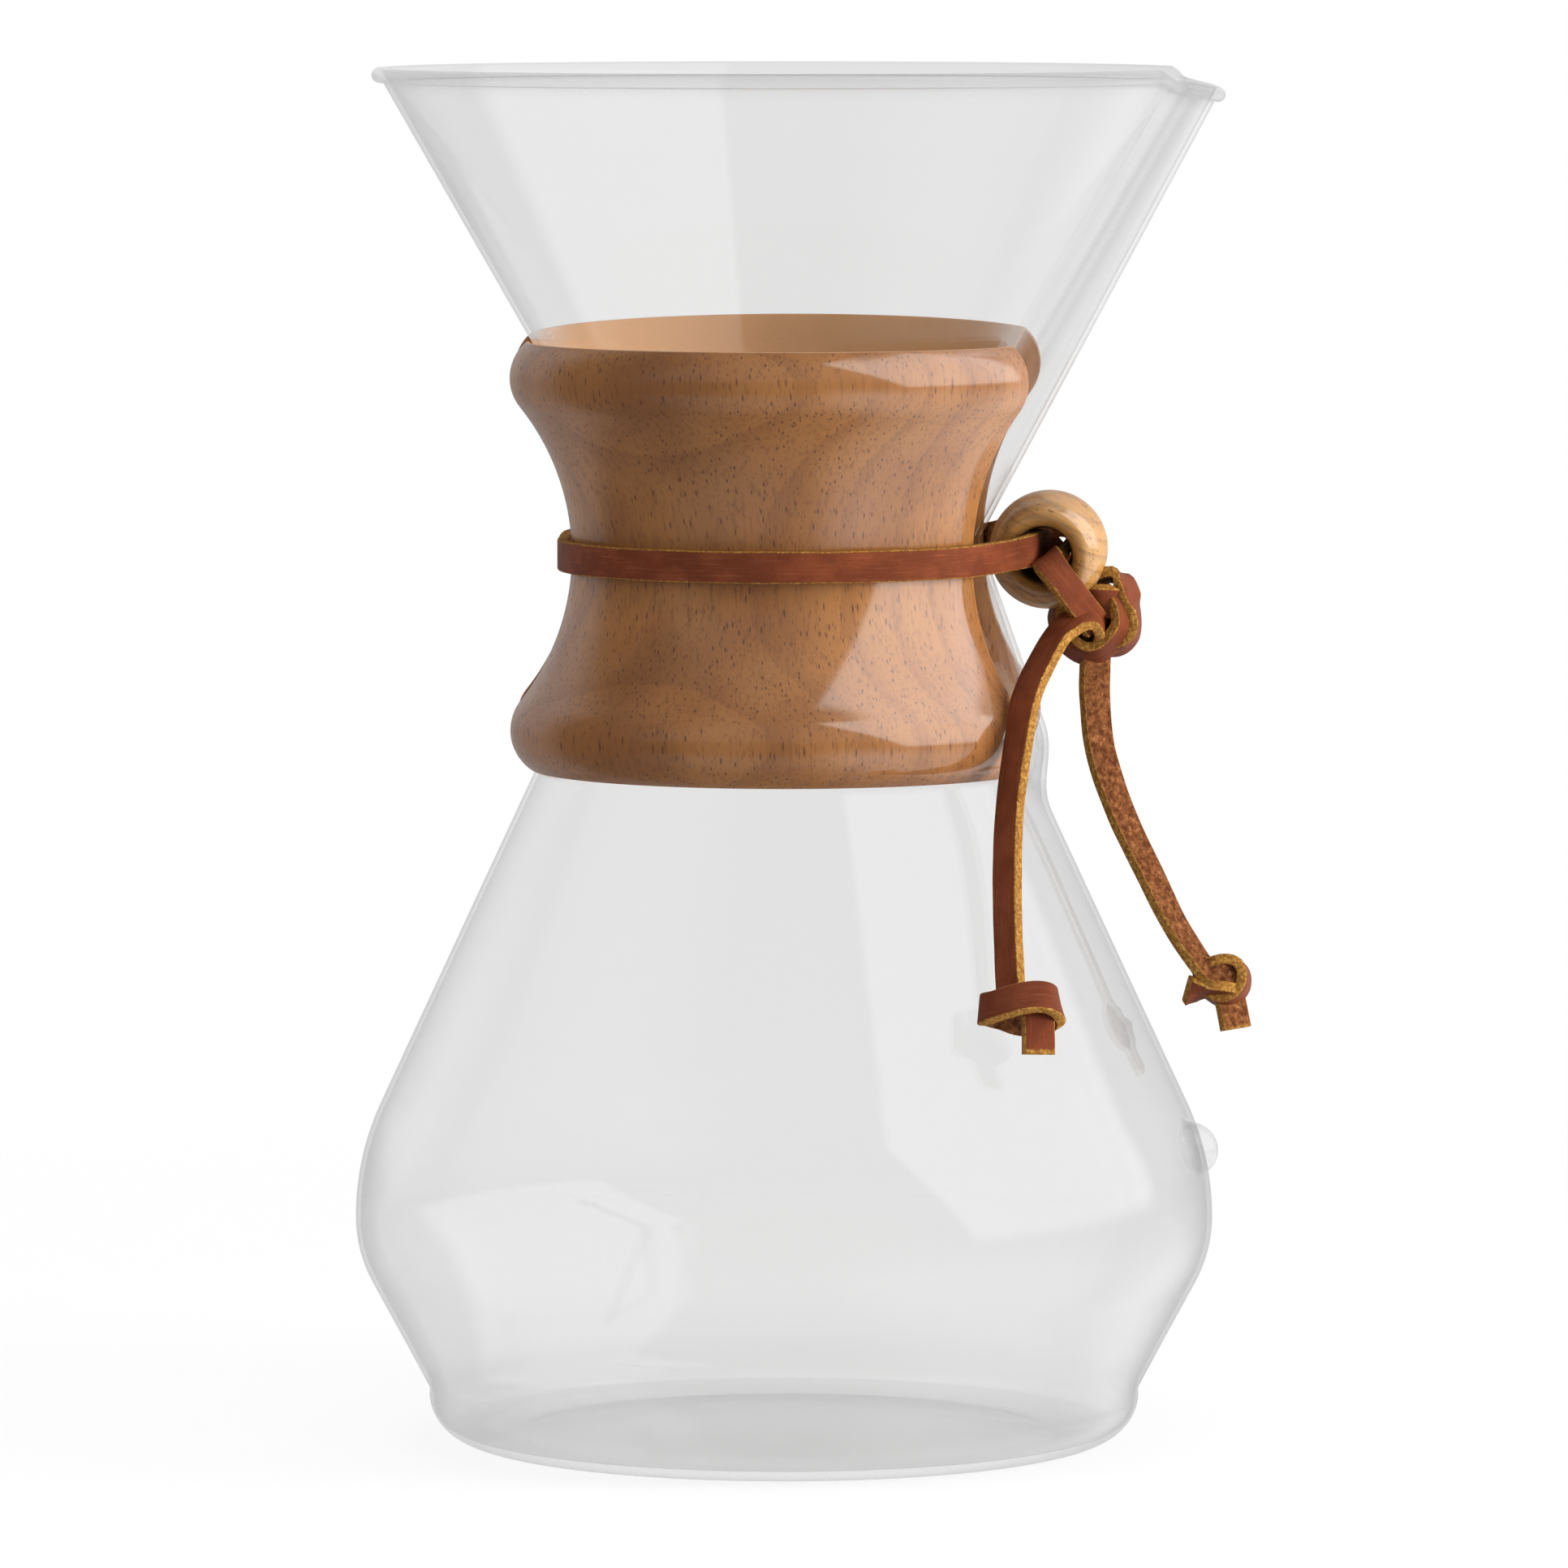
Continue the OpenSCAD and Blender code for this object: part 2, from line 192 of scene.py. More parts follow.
# a smooth line through the points in even steps, with the way across it and the length so far
def smoothRoute(points, sides):
    points = np.array(points, float)
    sides = np.array(sides, float)
    last = len(points) - 1
    fine, width = [], []
    for i in range(last):
        a, b, c, d = (points[max(i - 1, 0)], points[i], points[i + 1], points[min(i + 2, last)])
        for t in np.linspace(0, 1, lace["fine"], endpoint=False):
            fine.append(b + t * (c - a) / 2 + t * t * (2 * a - 5 * b + 4 * c - d) / 2
                        + t ** 3 * (3 * b - a - 3 * c + d) / 2)
            blend = t * t * (3 - 2 * t)
            width.append(sides[i] * (1 - blend) + sides[i + 1] * blend)
    fine, width = np.array(fine + [points[-1]]), np.array(width + [sides[-1]])
    reach = np.concatenate([[0], np.cumsum(np.linalg.norm(np.diff(fine, axis=0), axis=1))])
    count = max(int(reach[-1] / lace["step"]), 8)
    even = np.linspace(0, reach[-1], count + 1)
    line = np.stack([np.interp(even, reach, fine[:, k]) for k in range(3)], 1)
    across = np.stack([np.interp(even, reach, width[:, k]) for k in range(3)], 1)
    return line, across, even


def unit(rows):
    return rows / np.linalg.norm(rows, axis=1)[:, None]


def laceStrips(name, strips):
    ring = np.array(laceRing())
    size = len(ring)
    verts, faces, facts = [], [], []
    for points, sides, *worn in strips:
        line, across, even = smoothRoute(points, sides)
        ahead = unit(np.gradient(line, axis=0))
        across = unit(across - np.sum(across * ahead, axis=1)[:, None] * ahead)
        normal = np.cross(ahead, across)
        short = np.sin(even / lace["shortWave"] + lace["shortStart"])
        waver = 1 + lace["waver"] * (np.sin(even / lace["longWave"]) + lace["shortShare"] * short)
        start = len(verts)
        rows = len(line)
        for i in range(rows):
            pale = worn[0] * max(1 - (even[-1] - even[i]) / lace["worn"], 0) if worn else 0
            for x, y, edge, nap in ring:
                verts.append(line[i] + across[i] * x * waver[i] + normal[i] * y)
                facts.append((even[i], x, max(edge, pale), nap))
        for i in range(rows - 1):
            for j in range(size):
                a, b = start + i * size + j, start + i * size + (j + 1) % size
                faces.append((a, b, b + size, a + size))
        for i, outward in ((0, -1), (rows - 1, 1)):  # cut ends, a little domed
            first = len(verts)
            for x, y in ring[:, :2]:
                spot = line[i] + across[i] * x * lace["capWide"] * waver[i]
                verts.append(spot + normal[i] * y * lace["capThick"] + ahead[i] * outward * lace["capOut"])
                facts.append((even[i], x, 1.0, 0.5))
            outer = start + i * size
            for j in range(size):
                k = (j + 1) % size
                faces.append((outer + j, outer + k, first + k, first + j))
            faces.append(tuple(range(first, first + size)))
    mesh = bpy.data.meshes.new(name)
    mesh.from_pydata([tuple(v) for v in verts], [], faces)
    for place, key in enumerate(("along", "across", "edge", "nap")):
        layer = mesh.attributes.new(key, "FLOAT", "POINT")
        layer.data.foreach_set("value", [float(f[place]) for f in facts])
    made = bpy.data.objects.new(name, mesh)
    scene.collection.objects.link(made)
    finishMesh(made, lace["crisp"])
    return made


def pick(made):
    bpy.ops.object.select_all(action="DESELECT")
    made.select_set(True)
    bpy.context.view_layer.objects.active = made


allSmooth = 180  # degrees: no edge stays crisp


def finishMesh(made, angle, merge=None):
    pick(made)
    bpy.ops.object.mode_set(mode="EDIT")
    bpy.ops.mesh.select_all(action="SELECT")
    if merge:
        bpy.ops.mesh.remove_doubles(threshold=merge)
    bpy.ops.mesh.normals_make_consistent(inside=False)
    bpy.ops.object.mode_set(mode="OBJECT")
    bpy.ops.object.shade_smooth_by_angle(angle=math.radians(angle))
    bpy.ops.object.select_all(action="DESELECT")


leatherLook = {"grain": tone(111, 55, 31), "grainDark": tone(94, 44, 24), "grainPale": tone(138, 78, 50),
               "edge": tone(164, 120, 56), "edgeDark": tone(122, 80, 34), "edgePale": tone(192, 154, 88),
               "nap": tone(120, 74, 42), "napDark": tone(76, 40, 21), "napPale": tone(160, 110, 68),
               "streak": (120.0, 2400.0, 1.0), "cloud": 160.0, "pebble": 2600.0, "fibre": 1700.0, "tuft": 900.0,
               "bump": 0.55, "bumpDeep": 0.00025, "sheen": 0.15}


def leatherMaterial():
    look = leatherLook
    made, shader, wire = newMaterial("lace leather")
    along, across, edge, nap = [wire.fact(key) for key in ("along", "across", "edge", "nap")]
    place = wire.node("ShaderNodeTexCoord", out="Object")
    strip = wire.node("ShaderNodeCombineXYZ", {}, {"X": along, "Y": across})
    crease = wire.noise(wire.stretch(strip, look["streak"]), 1.0, 4.0, 0.6)
    cloud = wire.noise(place, look["cloud"], 3.0)
    pebble = wire.node("ShaderNodeTexVoronoi", {"feature": "SMOOTH_F1"},
                       {"Vector": place, "Scale": look["pebble"]})
    fibre = wire.noise(place, look["fibre"], 4.0, 0.7)
    tuft = wire.noise(place, look["tuft"], 5.0, 0.75)
    grain = wire.mix(wire.ease(cloud, 0.38, 0.66), look["grainDark"], look["grain"])
    grain = wire.mix(wire.ease(crease, 0.52, 0.78) * 0.55, grain, look["grainPale"])
    grain = wire.mix(wire.ease(crease, 0.46, 0.3) * 0.5, grain, look["grainDark"])
    raw = wire.mix(wire.ease(fibre, 0.4, 0.62), look["edgeDark"], look["edge"])
    raw = wire.mix(wire.ease(fibre, 0.58, 0.74), raw, look["edgePale"])
    suede = wire.mix(wire.ease(tuft, 0.38, 0.6), look["napDark"], look["nap"])
    suede = wire.mix(wire.ease(tuft, 0.56, 0.72), suede, look["napPale"])
    napShare = wire.ease(nap, 0.55, 0.9)
    rough = wire.ease(edge + (fibre - 0.5) * 0.4, 0.2, 0.5)
    colour = wire.mix(napShare, grain, suede)
    colour = wire.mix(rough, colour, raw)
    skin = 1 - napShare
    height = pebble * skin * 0.35 + crease * skin * 0.5 + tuft * napShare * 2.2 + fibre * rough * 1.6
    bump = wire.bump(height, look["bump"], look["bumpDeep"])
    gloss = 0.5 + crease * 0.12 + napShare * 0.34 + rough * 0.3
    setSurface(shader, wire, {"Base Color": colour, "Roughness": gloss, "Normal": bump,
                              "Specular IOR Level": look["sheen"]})
    return made


leather = leatherMaterial()


def dress(made, material, nodes):
    made.data.materials.clear()
    made.data.materials.append(material)
    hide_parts(*nodes)
    return made


# bead and lace routes, as the solids have them
bead = {"centre": Vector((0.0455089, 0.0, 0.1538)), "turn": 7.0, "rise": 8.0, "radius": 0.0101,
        "hole": 0.0041, "thick": 0.014, "round": 112, "section": 48}
beadTurn, beadRise = math.radians(bead["turn"]), math.radians(bead["rise"])
beadAxis = Vector((math.sin(beadTurn) * math.cos(beadRise), math.cos(beadTurn) * math.cos(beadRise),
                   math.sin(beadRise)))
upright = Vector((0, 0, 1))
beadAcross = beadAxis.cross(upright).normalized()
beadOver = beadAcross.cross(beadAxis)


def inBead(points):
    return [bead["centre"] + beadAcross * a + beadAxis * b + beadOver * u for a, b, u in points]


# stretches in and beside the bead: across, back and up in the bead's own frame
frontStart = [(-0.0017, 0, 0.0008), (-0.0022, -0.0076, 0.0012), (-0.0058, -0.0114, 0.001)]
backEnd = [(-0.0052, 0.0114, 0.0014), (0, 0.0126, 0.0024), (0.0032, 0.0108, 0.0018), (0.0026, 0.0076, -0.0002),
           (0.0013, 0, -0.00125)]
knotStart = [(0.0013, 0, -0.00125), (0.0013, -0.004, -0.00125)]
knotBehind = [(-0.0017, 0, 0.0008), (-0.0014, 0.0076, -0.0012), (0.0006, 0.0094, -0.005),
              (0.0056, 0.0086, -0.0086)]

band = {"radius": 0.03805, "height": 0.1528, "first": -29.5, "last": -177.5, "step": -8.0, "overlap": 0.0006}
# the back half stands off the neck, lifted and leaning
backHalf = {"out": 0.0038, "lift": 0.0005, "lean": 2.5}
backPlace = (Matrix.Translation((0, backHalf["out"], band["height"] + backHalf["lift"]))
             @ Matrix.Rotation(math.radians(backHalf["lean"]), 4, "X")
             @ Matrix.Translation((0, 0, -band["height"])))


def frontArc():
    count = round((band["last"] - band["first"]) / band["step"])
    angles = [band["first"] + (band["last"] - band["first"]) * i / count for i in range(count + 1)]
    return [Vector((band["radius"] * math.cos(math.radians(a)), band["radius"] * math.sin(math.radians(a)),
                    band["height"])) for a in angles]


def laceRound():
    arc = frontArc()
    joinPoint = Vector((-band["radius"], 0, band["height"]))
    frontPoints = inBead(frontStart) + arc + [joinPoint + Vector((0, band["overlap"], 0))]
    frontSides = [-upright] * len(frontPoints)
    backArc = [backPlace @ Vector((p.x, -p.y, p.z)) for p in reversed(arc)]
    backPoints = [joinPoint] + backArc + inBead(backEnd)
    twist = [-upright - 0.3 * beadAcross, -upright - 0.8 * beadAcross, -0.6 * upright - 0.8 * beadAcross]
    backSides = [-upright] * (len(backPoints) - len(twist)) + twist
    front = laceStrips("lace_front", [(frontPoints, frontSides)])
    back = laceStrips("lace_back", [(backPoints, backSides)])
    return front, back


laceFront, laceBack = laceRound()
for made in (laceFront, laceBack):
    dress(made, leather, ["tie_band"])
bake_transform(laceFront)
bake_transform(laceBack)
print("lace laid round the collar")

# knots are drawn on axes that face the viewer: right, up and near, in millimetres
faceRight = Vector((0.9973, 0.0732, 0.0))
faceNear = Vector((0.073, -0.994, 0.082))
faceUp = faceNear.cross(faceRight)


def faced(centre, points):
    return [centre + 0.001 * (faceRight * r + faceUp * u + faceNear * n) for r, u, n in points]


def facing(sides):
    return [faceRight * r + faceUp * u + faceNear * n for r, u, n in sides]


knot = {"centre": Vector((0.0542, -0.001, 0.1422))}
outerLoop = [(-0.8, 6.2, -2.6), (0.7, 7.1, -1.8), (2.5, 7.3, -1.5), (4.3, 6.0, -1.2), (5.2, 3.7, -0.7),
             (5.9, 1.2, -1.0), (6.2, -1.2, -1.3), (5.7, -3.3, -1.5), (4.1, -4.8, -1.9), (2.0, -5.2, -2.5),
             (-0.6, -4.6, -2.9)]
outerSides = [(0, -0.25, -0.97), (-0.05, -0.25, -0.97), (-0.05, -0.2, -0.97), (0.35, 0.3, -0.86),
              (0.5, 0.22, -0.82), (0.2, 0.02, -0.97), (0.14, -0.05, -0.98), (0.14, -0.15, -0.97),
              (0.1, -0.25, -0.96), (0.1, -0.3, -0.95), (0, -0.3, -0.95)]
innerWrap = [(3.4, 3.6, -0.4), (3.9, 2.4, 0.1), (4.2, 0.9, 0.5), (4.3, -1.4, 0.8), (3.2, -3.3, 0.9),
             (2.1, -4.4, 0.8), (-0.1, -5.9, 0.6), (-2.8, -6.1, 0.4), (-5.0, -4.6, 0.0), (-6.6, -2.4, -0.8),
             (-7.2, 0.4, -1.8), (-6.2, 3.2, -3.2), (-3.6, 5.0, -4.4)]
innerSides = [(0.6, 0.3, -0.77), (0.63, 0.15, -0.77), (0.63, 0.03, -0.77), (0.6, -0.16, -0.77),
              (0.46, -0.34, -0.82), (0.34, -0.37, -0.87), (0.16, -0.44, -0.88), (-0.14, -0.45, -0.88),
              (-0.4, -0.24, -0.88), (-0.35, 0, -0.93), (-0.2, 0.1, -1), (0, 0.2, -1), (0, 0.3, -1)]
shortStrap = [(-4.5, 2.4, -1.0), (-2.0, 2.9, 0.5), (0.2, 3.0, 1.2), (2.0, 2.6, 0.7), (3.3, 1.8, -0.6)]
shortSides = [(0, 0.85, 0.5), (0, 0.85, 0.53), (-0.1, 0.85, 0.53), (-0.3, 0.85, 0.45), (-0.4, 0.8, 0.4)]
beadStrap = [(-9.0, 9.6, 6.4), (-6.6, 6.2, 8.5), (-3.1, 1.7, 5.4), (-0.8, -1.2, 2.2)]
coreStrap = [(-5.4, 0.4, -2.4), (0.0, 0.6, -2.2), (5.0, 0.2, -2.6)]
lowStrap = [(-4.6, -3.2, -2.4), (-0.4, -3.4, -1.6), (3.6, -3.0, -2.2)]


def tieKnot():
    centre = knot["centre"]
    fromBead = inBead(knotStart) + faced(centre, beadStrap)
    fromSides = [0.6 * upright + 0.8 * beadAcross] * 2 + facing([(0.7, 0.56, -0.4)] + [(0.68, 0.54, -0.5)] * 3)
    behind = inBead(knotBehind) + faced(centre, [(1.8, 2.6, -4.6)])
    slanted = 0.7 * upright + 0.7 * beadAcross
    behindSides = [upright, upright, upright + 0.5 * beadAcross, slanted, slanted]
    level = facing([(0, 1, 0)] * 3)
    strips = [(faced(centre, outerLoop), facing(outerSides)), (faced(centre, innerWrap), facing(innerSides)),
              (faced(centre, shortStrap), facing(shortSides)), (fromBead, fromSides), (behind, behindSides),
              (faced(centre, coreStrap), level), (faced(centre, lowStrap), level)]
    return laceStrips("lace_knot", strips)


laceKnot = dress(tieKnot(), leather, ["tie_knot"])
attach(laceKnot, "carafe")

leftTail = {"points": [(0.0505, -0.0076, 0.141), (0.0465, -0.012, 0.138), (0.043, -0.021, 0.1305),
                       (0.042, -0.028, 0.124), (0.0405, -0.032, 0.111), (0.0405, -0.0385, 0.0975),
                       (0.0414, -0.046, 0.084), (0.0422, -0.05, 0.0795)],
            "side": (0.76, -0.65, 0.0), "endSide": (0.68, -0.73, 0.0), "exit": (0.0505, -0.0076, 0.141)}
rightTail = {"points": [(0.0535, 0.0, 0.1335), (0.0535, 0.0, 0.128), (0.0545, 0.0, 0.119), (0.058, 0.0, 0.1085),
                        (0.063, 0.0, 0.098), (0.0675, 0.0, 0.089), (0.0725, 0.0, 0.0815),
                        (0.0745, 0.0, 0.0795)],
             "side": (-0.82, -0.57, 0.0), "endSide": (-0.45, -0.89, 0.0), "exit": (0.0535, 0.0, 0.1335)}
overArc = [(0.4, -2.9, -0.6), (0.2, -2.2, 0.8), (-0.1, -1.2, 2.4), (-1.3, 0.0, 4.1), (-3.2, -0.1, 5.4),
           (-5.7, -1.7, 7.0)]
overSides = [(-0.25, -0.1, 0.96), (-0.2, -0.15, 0.97), (-0.1, -0.43, 0.89), (0, -0.58, 0.81), (0, -0.62, 0.78),
             (0.1, -0.6, 0.79)]


def hangTail(name, tail, lead, leadSides):
    points = lead + [Vector(p) for p in tail["points"][1:]]
    count = len(tail["points"]) - 1
    side, endSide = Vector(tail["side"]), Vector(tail["endSide"])
    sides = leadSides + [side.lerp(endSide, i / (count - 1)) for i in range(count)]
    made = laceStrips(name, [(points, sides)])
    line, _, even = smoothRoute(points, sides)
    return made, [tuple(p) for p in line], float(even[-1])


def hangTails():
    centre = knot["centre"]
    lead = faced(centre, overArc)
    left, leftPath, leftLong = hangTail("tail_strip_left", leftTail, lead, facing(overSides))
    top = faced(centre, [(-0.4, -3.2, -1.6)]) + [Vector(rightTail["points"][0])]
    right, rightPath, rightLong = hangTail("tail_strip_right", rightTail, top, [Vector(rightTail["side"])] * 2)
    return left, leftPath, leftLong, right, rightPath, rightLong


tailLeft, leftPath, leftLong, tailRight, rightPath, rightLong = hangTails()
dress(tailLeft, leather, ["tail_left"])
dress(tailRight, leather, ["tail_right"])
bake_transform(tailLeft)
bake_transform(tailRight)

endLeft = {"centre": Vector((0.0436, -0.0512, 0.0789)), "worn": 1.0}
leftRing = [(-6.1, 0.8, -0.6), (-6.2, 0.9, 0.7), (-4.6, 1.4, 2.6), (-2.2, 2.2, 3.4), (0.1, 2.8, 3.8),
            (2.5, 3.1, 3.7), (4.5, 2.8, 3.0), (5.6, 1.9, 1.3), (5.5, 0.5, -0.8), (4.2, -0.5, -2.4),
            (2.0, -1.0, -3.0), (-0.6, -0.8, -3.1), (-2.8, 0.0, -3.0), (-4.8, 0.5, -2.6), (-5.9, 0.8, -1.6)]
leftRingSides = [(0.1, 0.98, 0), (0.1, 0.95, -0.25), (0.1, 0.88, -0.45), (0.05, 0.86, -0.5),
                 (0, 0.85, -0.53), (-0.05, 0.86, -0.5), (-0.12, 0.88, -0.42), (-0.22, 0.92, -0.2),
                 (-0.25, 0.94, 0.1), (-0.2, 0.93, 0.3), (-0.1, 0.92, 0.4), (-0.1, 0.9, 0.4),
                 (0, 0.95, 0.3), (0.1, 0.96, 0.2), (0.1, 0.98, 0.1)]
leftStub = [(2.4, 1.6, 0.6), (2.7, -0.4, 1.5), (2.8, -3.0, 2.1), (2.8, -6.6, 2.3)]
endRight = {"centre": Vector((0.0748, 0.0005, 0.0795)), "worn": 0.5}
rightRing = [(-2.8, 0.9, -2.4), (-1.3, 2.5, -1.7), (0.8, 3.25, -1.3), (2.6, 3.2, -1.2), (3.9, 2.4, -1.1),
             (4.5, 0.6, -1.2), (4.0, -1.5, -1.3), (2.0, -3.2, -1.4), (0.0, -3.1, -1.9), (-1.8, -2.0, -2.6)]
rightRingSides = [(0.2, -0.22, -0.95)] * 10
rightFlap = [(-5.3, -1.6, 1.0), (-4.0, -1.55, 0.5), (-2.15, -1.4, 0.1), (-0.1, -1.5, 0.0), (1.5, -1.8, -0.8)]
rightFlapSides = [(-0.45, 0.6, 0.66), (-0.35, 0.48, 0.8), (-0.22, 0.33, 0.92), (-0.2, 0.3, 0.93),
                  (-0.2, 0.3, 0.93)]
rightFill = [(-4.0, 1.6, -0.4), (-1.4, 1.3, 0.3), (0.8, 1.0, 0.4), (3.2, 0.4, -0.5)]
rightStub = [(1.4, -0.6, -2.2), (2.0, -2.6, -2.3), (2.5, -5.0, -2.2), (3.1, -8.2, -2.0)]


def tieEnds():
    centre = endLeft["centre"]
    strips = [(faced(centre, leftRing), facing(leftRingSides)),
              (faced(centre, leftStub), facing([(0.95, 0, -0.3)] * 4), endLeft["worn"])]
    left = laceStrips("end_knot_strip_left", strips)
    centre = endRight["centre"]
    strips = [(faced(centre, rightRing), facing(rightRingSides)),
              (faced(centre, rightFlap), facing(rightFlapSides)),
              (faced(centre, rightFill), facing([(0, -1, 0.1)] * 4)),
              (faced(centre, rightStub), facing([(-0.86, -0.2, 0.47)] * 4), endRight["worn"])]
    right = laceStrips("end_knot_strip_right", strips)
    return left, right


endKnotLeft, endKnotRight = tieEnds()
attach(dress(endKnotLeft, leather, ["end_knot_left"]), "left_tail")
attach(dress(endKnotRight, leather, ["end_knot_right"]), "right_tail")
print("lace tied, tails", round(leftLong, 4), "and", round(rightLong, 4))

# glass carafe: one outline of the wall, spun, then drawn out along the air channel
glass = {"height": 0.2362, "rimRadius": 0.0706, "rimThick": 0.0025, "wall": 0.0008, "neckRadius": 0.027,
         "neckHeight": 0.1546, "neckRound": 0.023, "bulbRadius": 0.0739, "bulbHeight": 0.0385,
         "bulbRoundUp": 0.046, "bulbRoundLow": 0.023, "footRadius": 0.0613, "footHeight": 0.0093,
         "footRound": 0.008, "footEnd": -0.06, "footIn": (-0.00015, -0.0004), "floor": 0.002,
         "floorRows": (0.012, 0.03), "ring": 0.046, "ringDepth": 0.0008, "rimInner": 0.0006,
         "footInner": 0.0045, "footThin": 0.9, "heelIn": (0.0006, 0.0012),
         "channel": 0.0085, "channelTopIn": 0.0043, "channelNeckIn": 0.0025,
         "channelBendUp": 0.0019, "channelLowIn": 0.0036, "channelLowDown": 0.0336, "channelPast": 0.5,
         "lipDip": 0.0033, "lipHalf": 20.0, "lipRound": 3.0, "lipCurve": 1.1, "lipFrom": 0.2,
         "button": 0.0047, "buttonHeight": 0.0515, "buttonRise": 0.0039, "buttonTurn": -8.0,
         "fillet": 0.008, "buttonFillet": 0.001}
# rows of the outline, steps round it, and how the wall is drawn out
glassMesh = {"low": 16, "up": 28, "neck": 24, "flank": 46, "funnel": 36, "foot": 14, "rim": 18, "lip": 8,
             "heel": 10, "fineHalf": 26.0, "fineSteps": 104, "wideSteps": 190, "weld": 2e-6, "startOut": 0.012,
             "tries": 80, "stride": 0.8}


def heading(v):
    return math.atan2(v[1], v[0])


def turned(angle):
    return np.array((math.cos(angle), math.sin(angle)))


def arcPoints(centre, radius, start, end, count):
    return [np.array(centre) + radius * turned(start + (end - start) * i / count) for i in range(count + 1)]


def linePoints(start, end, count):
    return [start + (end - start) * i / count for i in range(1, count)]


rimCentre = np.array((glass["rimRadius"] - glass["rimThick"] / 2, glass["height"] - glass["rimThick"] / 2))
neckCentre = np.array((glass["neckRadius"] + glass["neckRound"], glass["neckHeight"]))
bulbUp = np.array((glass["bulbRadius"] - glass["bulbRoundUp"], glass["bulbHeight"]))
bulbLow = np.array((glass["bulbRadius"] - glass["bulbRoundLow"], glass["bulbHeight"]))
footTop = np.array((glass["footRadius"], glass["footHeight"]))
rimWay = rimCentre - neckCentre
funnelTurn = heading(rimWay) + math.acos(glass["neckRound"] / np.linalg.norm(rimWay))
flankWay = bulbUp - neckCentre
flankTurn = heading(flankWay) + 2 * math.pi - math.acos(
    (glass["neckRound"] + glass["bulbRoundUp"]) / np.linalg.norm(flankWay))
heelWay = footTop - bulbLow
heelTurn = heading(heelWay) + math.acos(glass["bulbRoundLow"] / np.linalg.norm(heelWay))


def wallLine(depth):
    low = arcPoints(bulbLow, glass["bulbRoundLow"] - depth, heelTurn, 0.0, glassMesh["low"])
    up = arcPoints(bulbUp, glass["bulbRoundUp"] - depth, 0.0, flankTurn - math.pi, glassMesh["up"])
    neck = arcPoints(neckCentre, glass["neckRound"] + depth, flankTurn, funnelTurn, glassMesh["neck"])
    top = rimCentre + depth * turned(funnelTurn)
    flank = linePoints(up[-1], neck[0], glassMesh["flank"])
    return low + up[1:] + flank + neck + linePoints(neck[-1], top, glassMesh["funnel"])


# from the middle of the underside, up the outside, over the rim and down the inside to the floor
def glassOutline():
    wall, rimRound, footRound = glass["wall"], glass["rimThick"] / 2, glass["footRound"]
    flat = (0.0, *glass["floorRows"], glass["ring"])
    rows = [(np.array((r, glass["ringDepth"])), "base") for r in flat]
    rows.append((np.array((glass["ring"] + 2 * glass["ringDepth"], 0.0)), "base"))
    foot = (glass["footRadius"] - footRound, footRound)
    rows += [(p, "base") for p in arcPoints(foot, footRound, -math.pi / 2, glass["footEnd"], glassMesh["foot"])]
    outer = wallLine(0.0)
    rows += [(footTop + np.array(glass["footIn"]), "base"), (footTop * 0.6 + outer[0] * 0.4, "out")]
    rows += [(p, "out") for p in outer]
    start = funnelTurn + math.pi / 2
    rows += [(p, "rim") for p in arcPoints(rimCentre, rimRound, start, start + math.pi, glassMesh["rim"])]
    lip, along = glass["rimInner"], funnelTurn - math.pi / 2
    lipCentre = rimCentre + (wall - lip) * turned(funnelTurn) + (rimRound - lip) * turned(along)
    rows += [(p, "rim") for p in arcPoints(lipCentre, lip, along, funnelTurn, glassMesh["lip"])]
    rows += [(p, "in") for p in reversed(wallLine(wall))]
    side, bend = glass["footRadius"] - glass["footThin"] * wall, glass["footInner"]
    rows.append((np.array((side, glass["footHeight"])) + glass["heelIn"], "base"))
    heel = (side - bend, glass["floor"] + bend)
    rows += [(p, "base") for p in arcPoints(heel, bend, 0.0, -math.pi / 2, glassMesh["heel"])]
    return rows + [(np.array((r, glass["floor"])), "base") for r in reversed(flat)]


def drawOutline(name, points, turn):
    side = Vector((math.cos(turn), math.sin(turn), 0))
    spots = [side * p[0] + upright * p[1] for p in points]
    bpy.ops.object.select_all(action="DESELECT")
    bpy.ops.mesh.primitive_plane_add(size=0.001, location=(0, 0, 0))
    made = bpy.context.object
    made.name = made.data.name = name
    bpy.ops.object.mode_set(mode="EDIT")
    bpy.ops.mesh.select_all(action="SELECT")
    bpy.ops.mesh.merge(type="CENTER")
    bpy.ops.transform.translate(value=spots[0])
    for a, b in zip(spots, spots[1:]):
        bpy.ops.mesh.extrude_vertices_move(TRANSFORM_OT_translate={"value": b - a})
    return made


def spinOn(angle, steps):
    bpy.ops.mesh.spin(steps=steps, angle=-angle, center=(0, 0, 0), axis=(0, 0, 1))


channelTop = np.array((glass["rimRadius"] - glass["channelTopIn"], rimCentre[1]))
channelNeck = np.array((glass["neckRadius"] - glass["channelNeckIn"],
                        glass["neckHeight"] + glass["channelBendUp"]))
flankStart = neckCentre + glass["neckRound"] * turned(flankTurn)
lowHeight = glass["neckHeight"] - glass["channelLowDown"]
channelLow = np.array((flankStart[0] + (flankStart[1] - lowHeight) * math.tan(flankTurn - math.pi)
                       - glass["channelLowIn"], lowHeight))


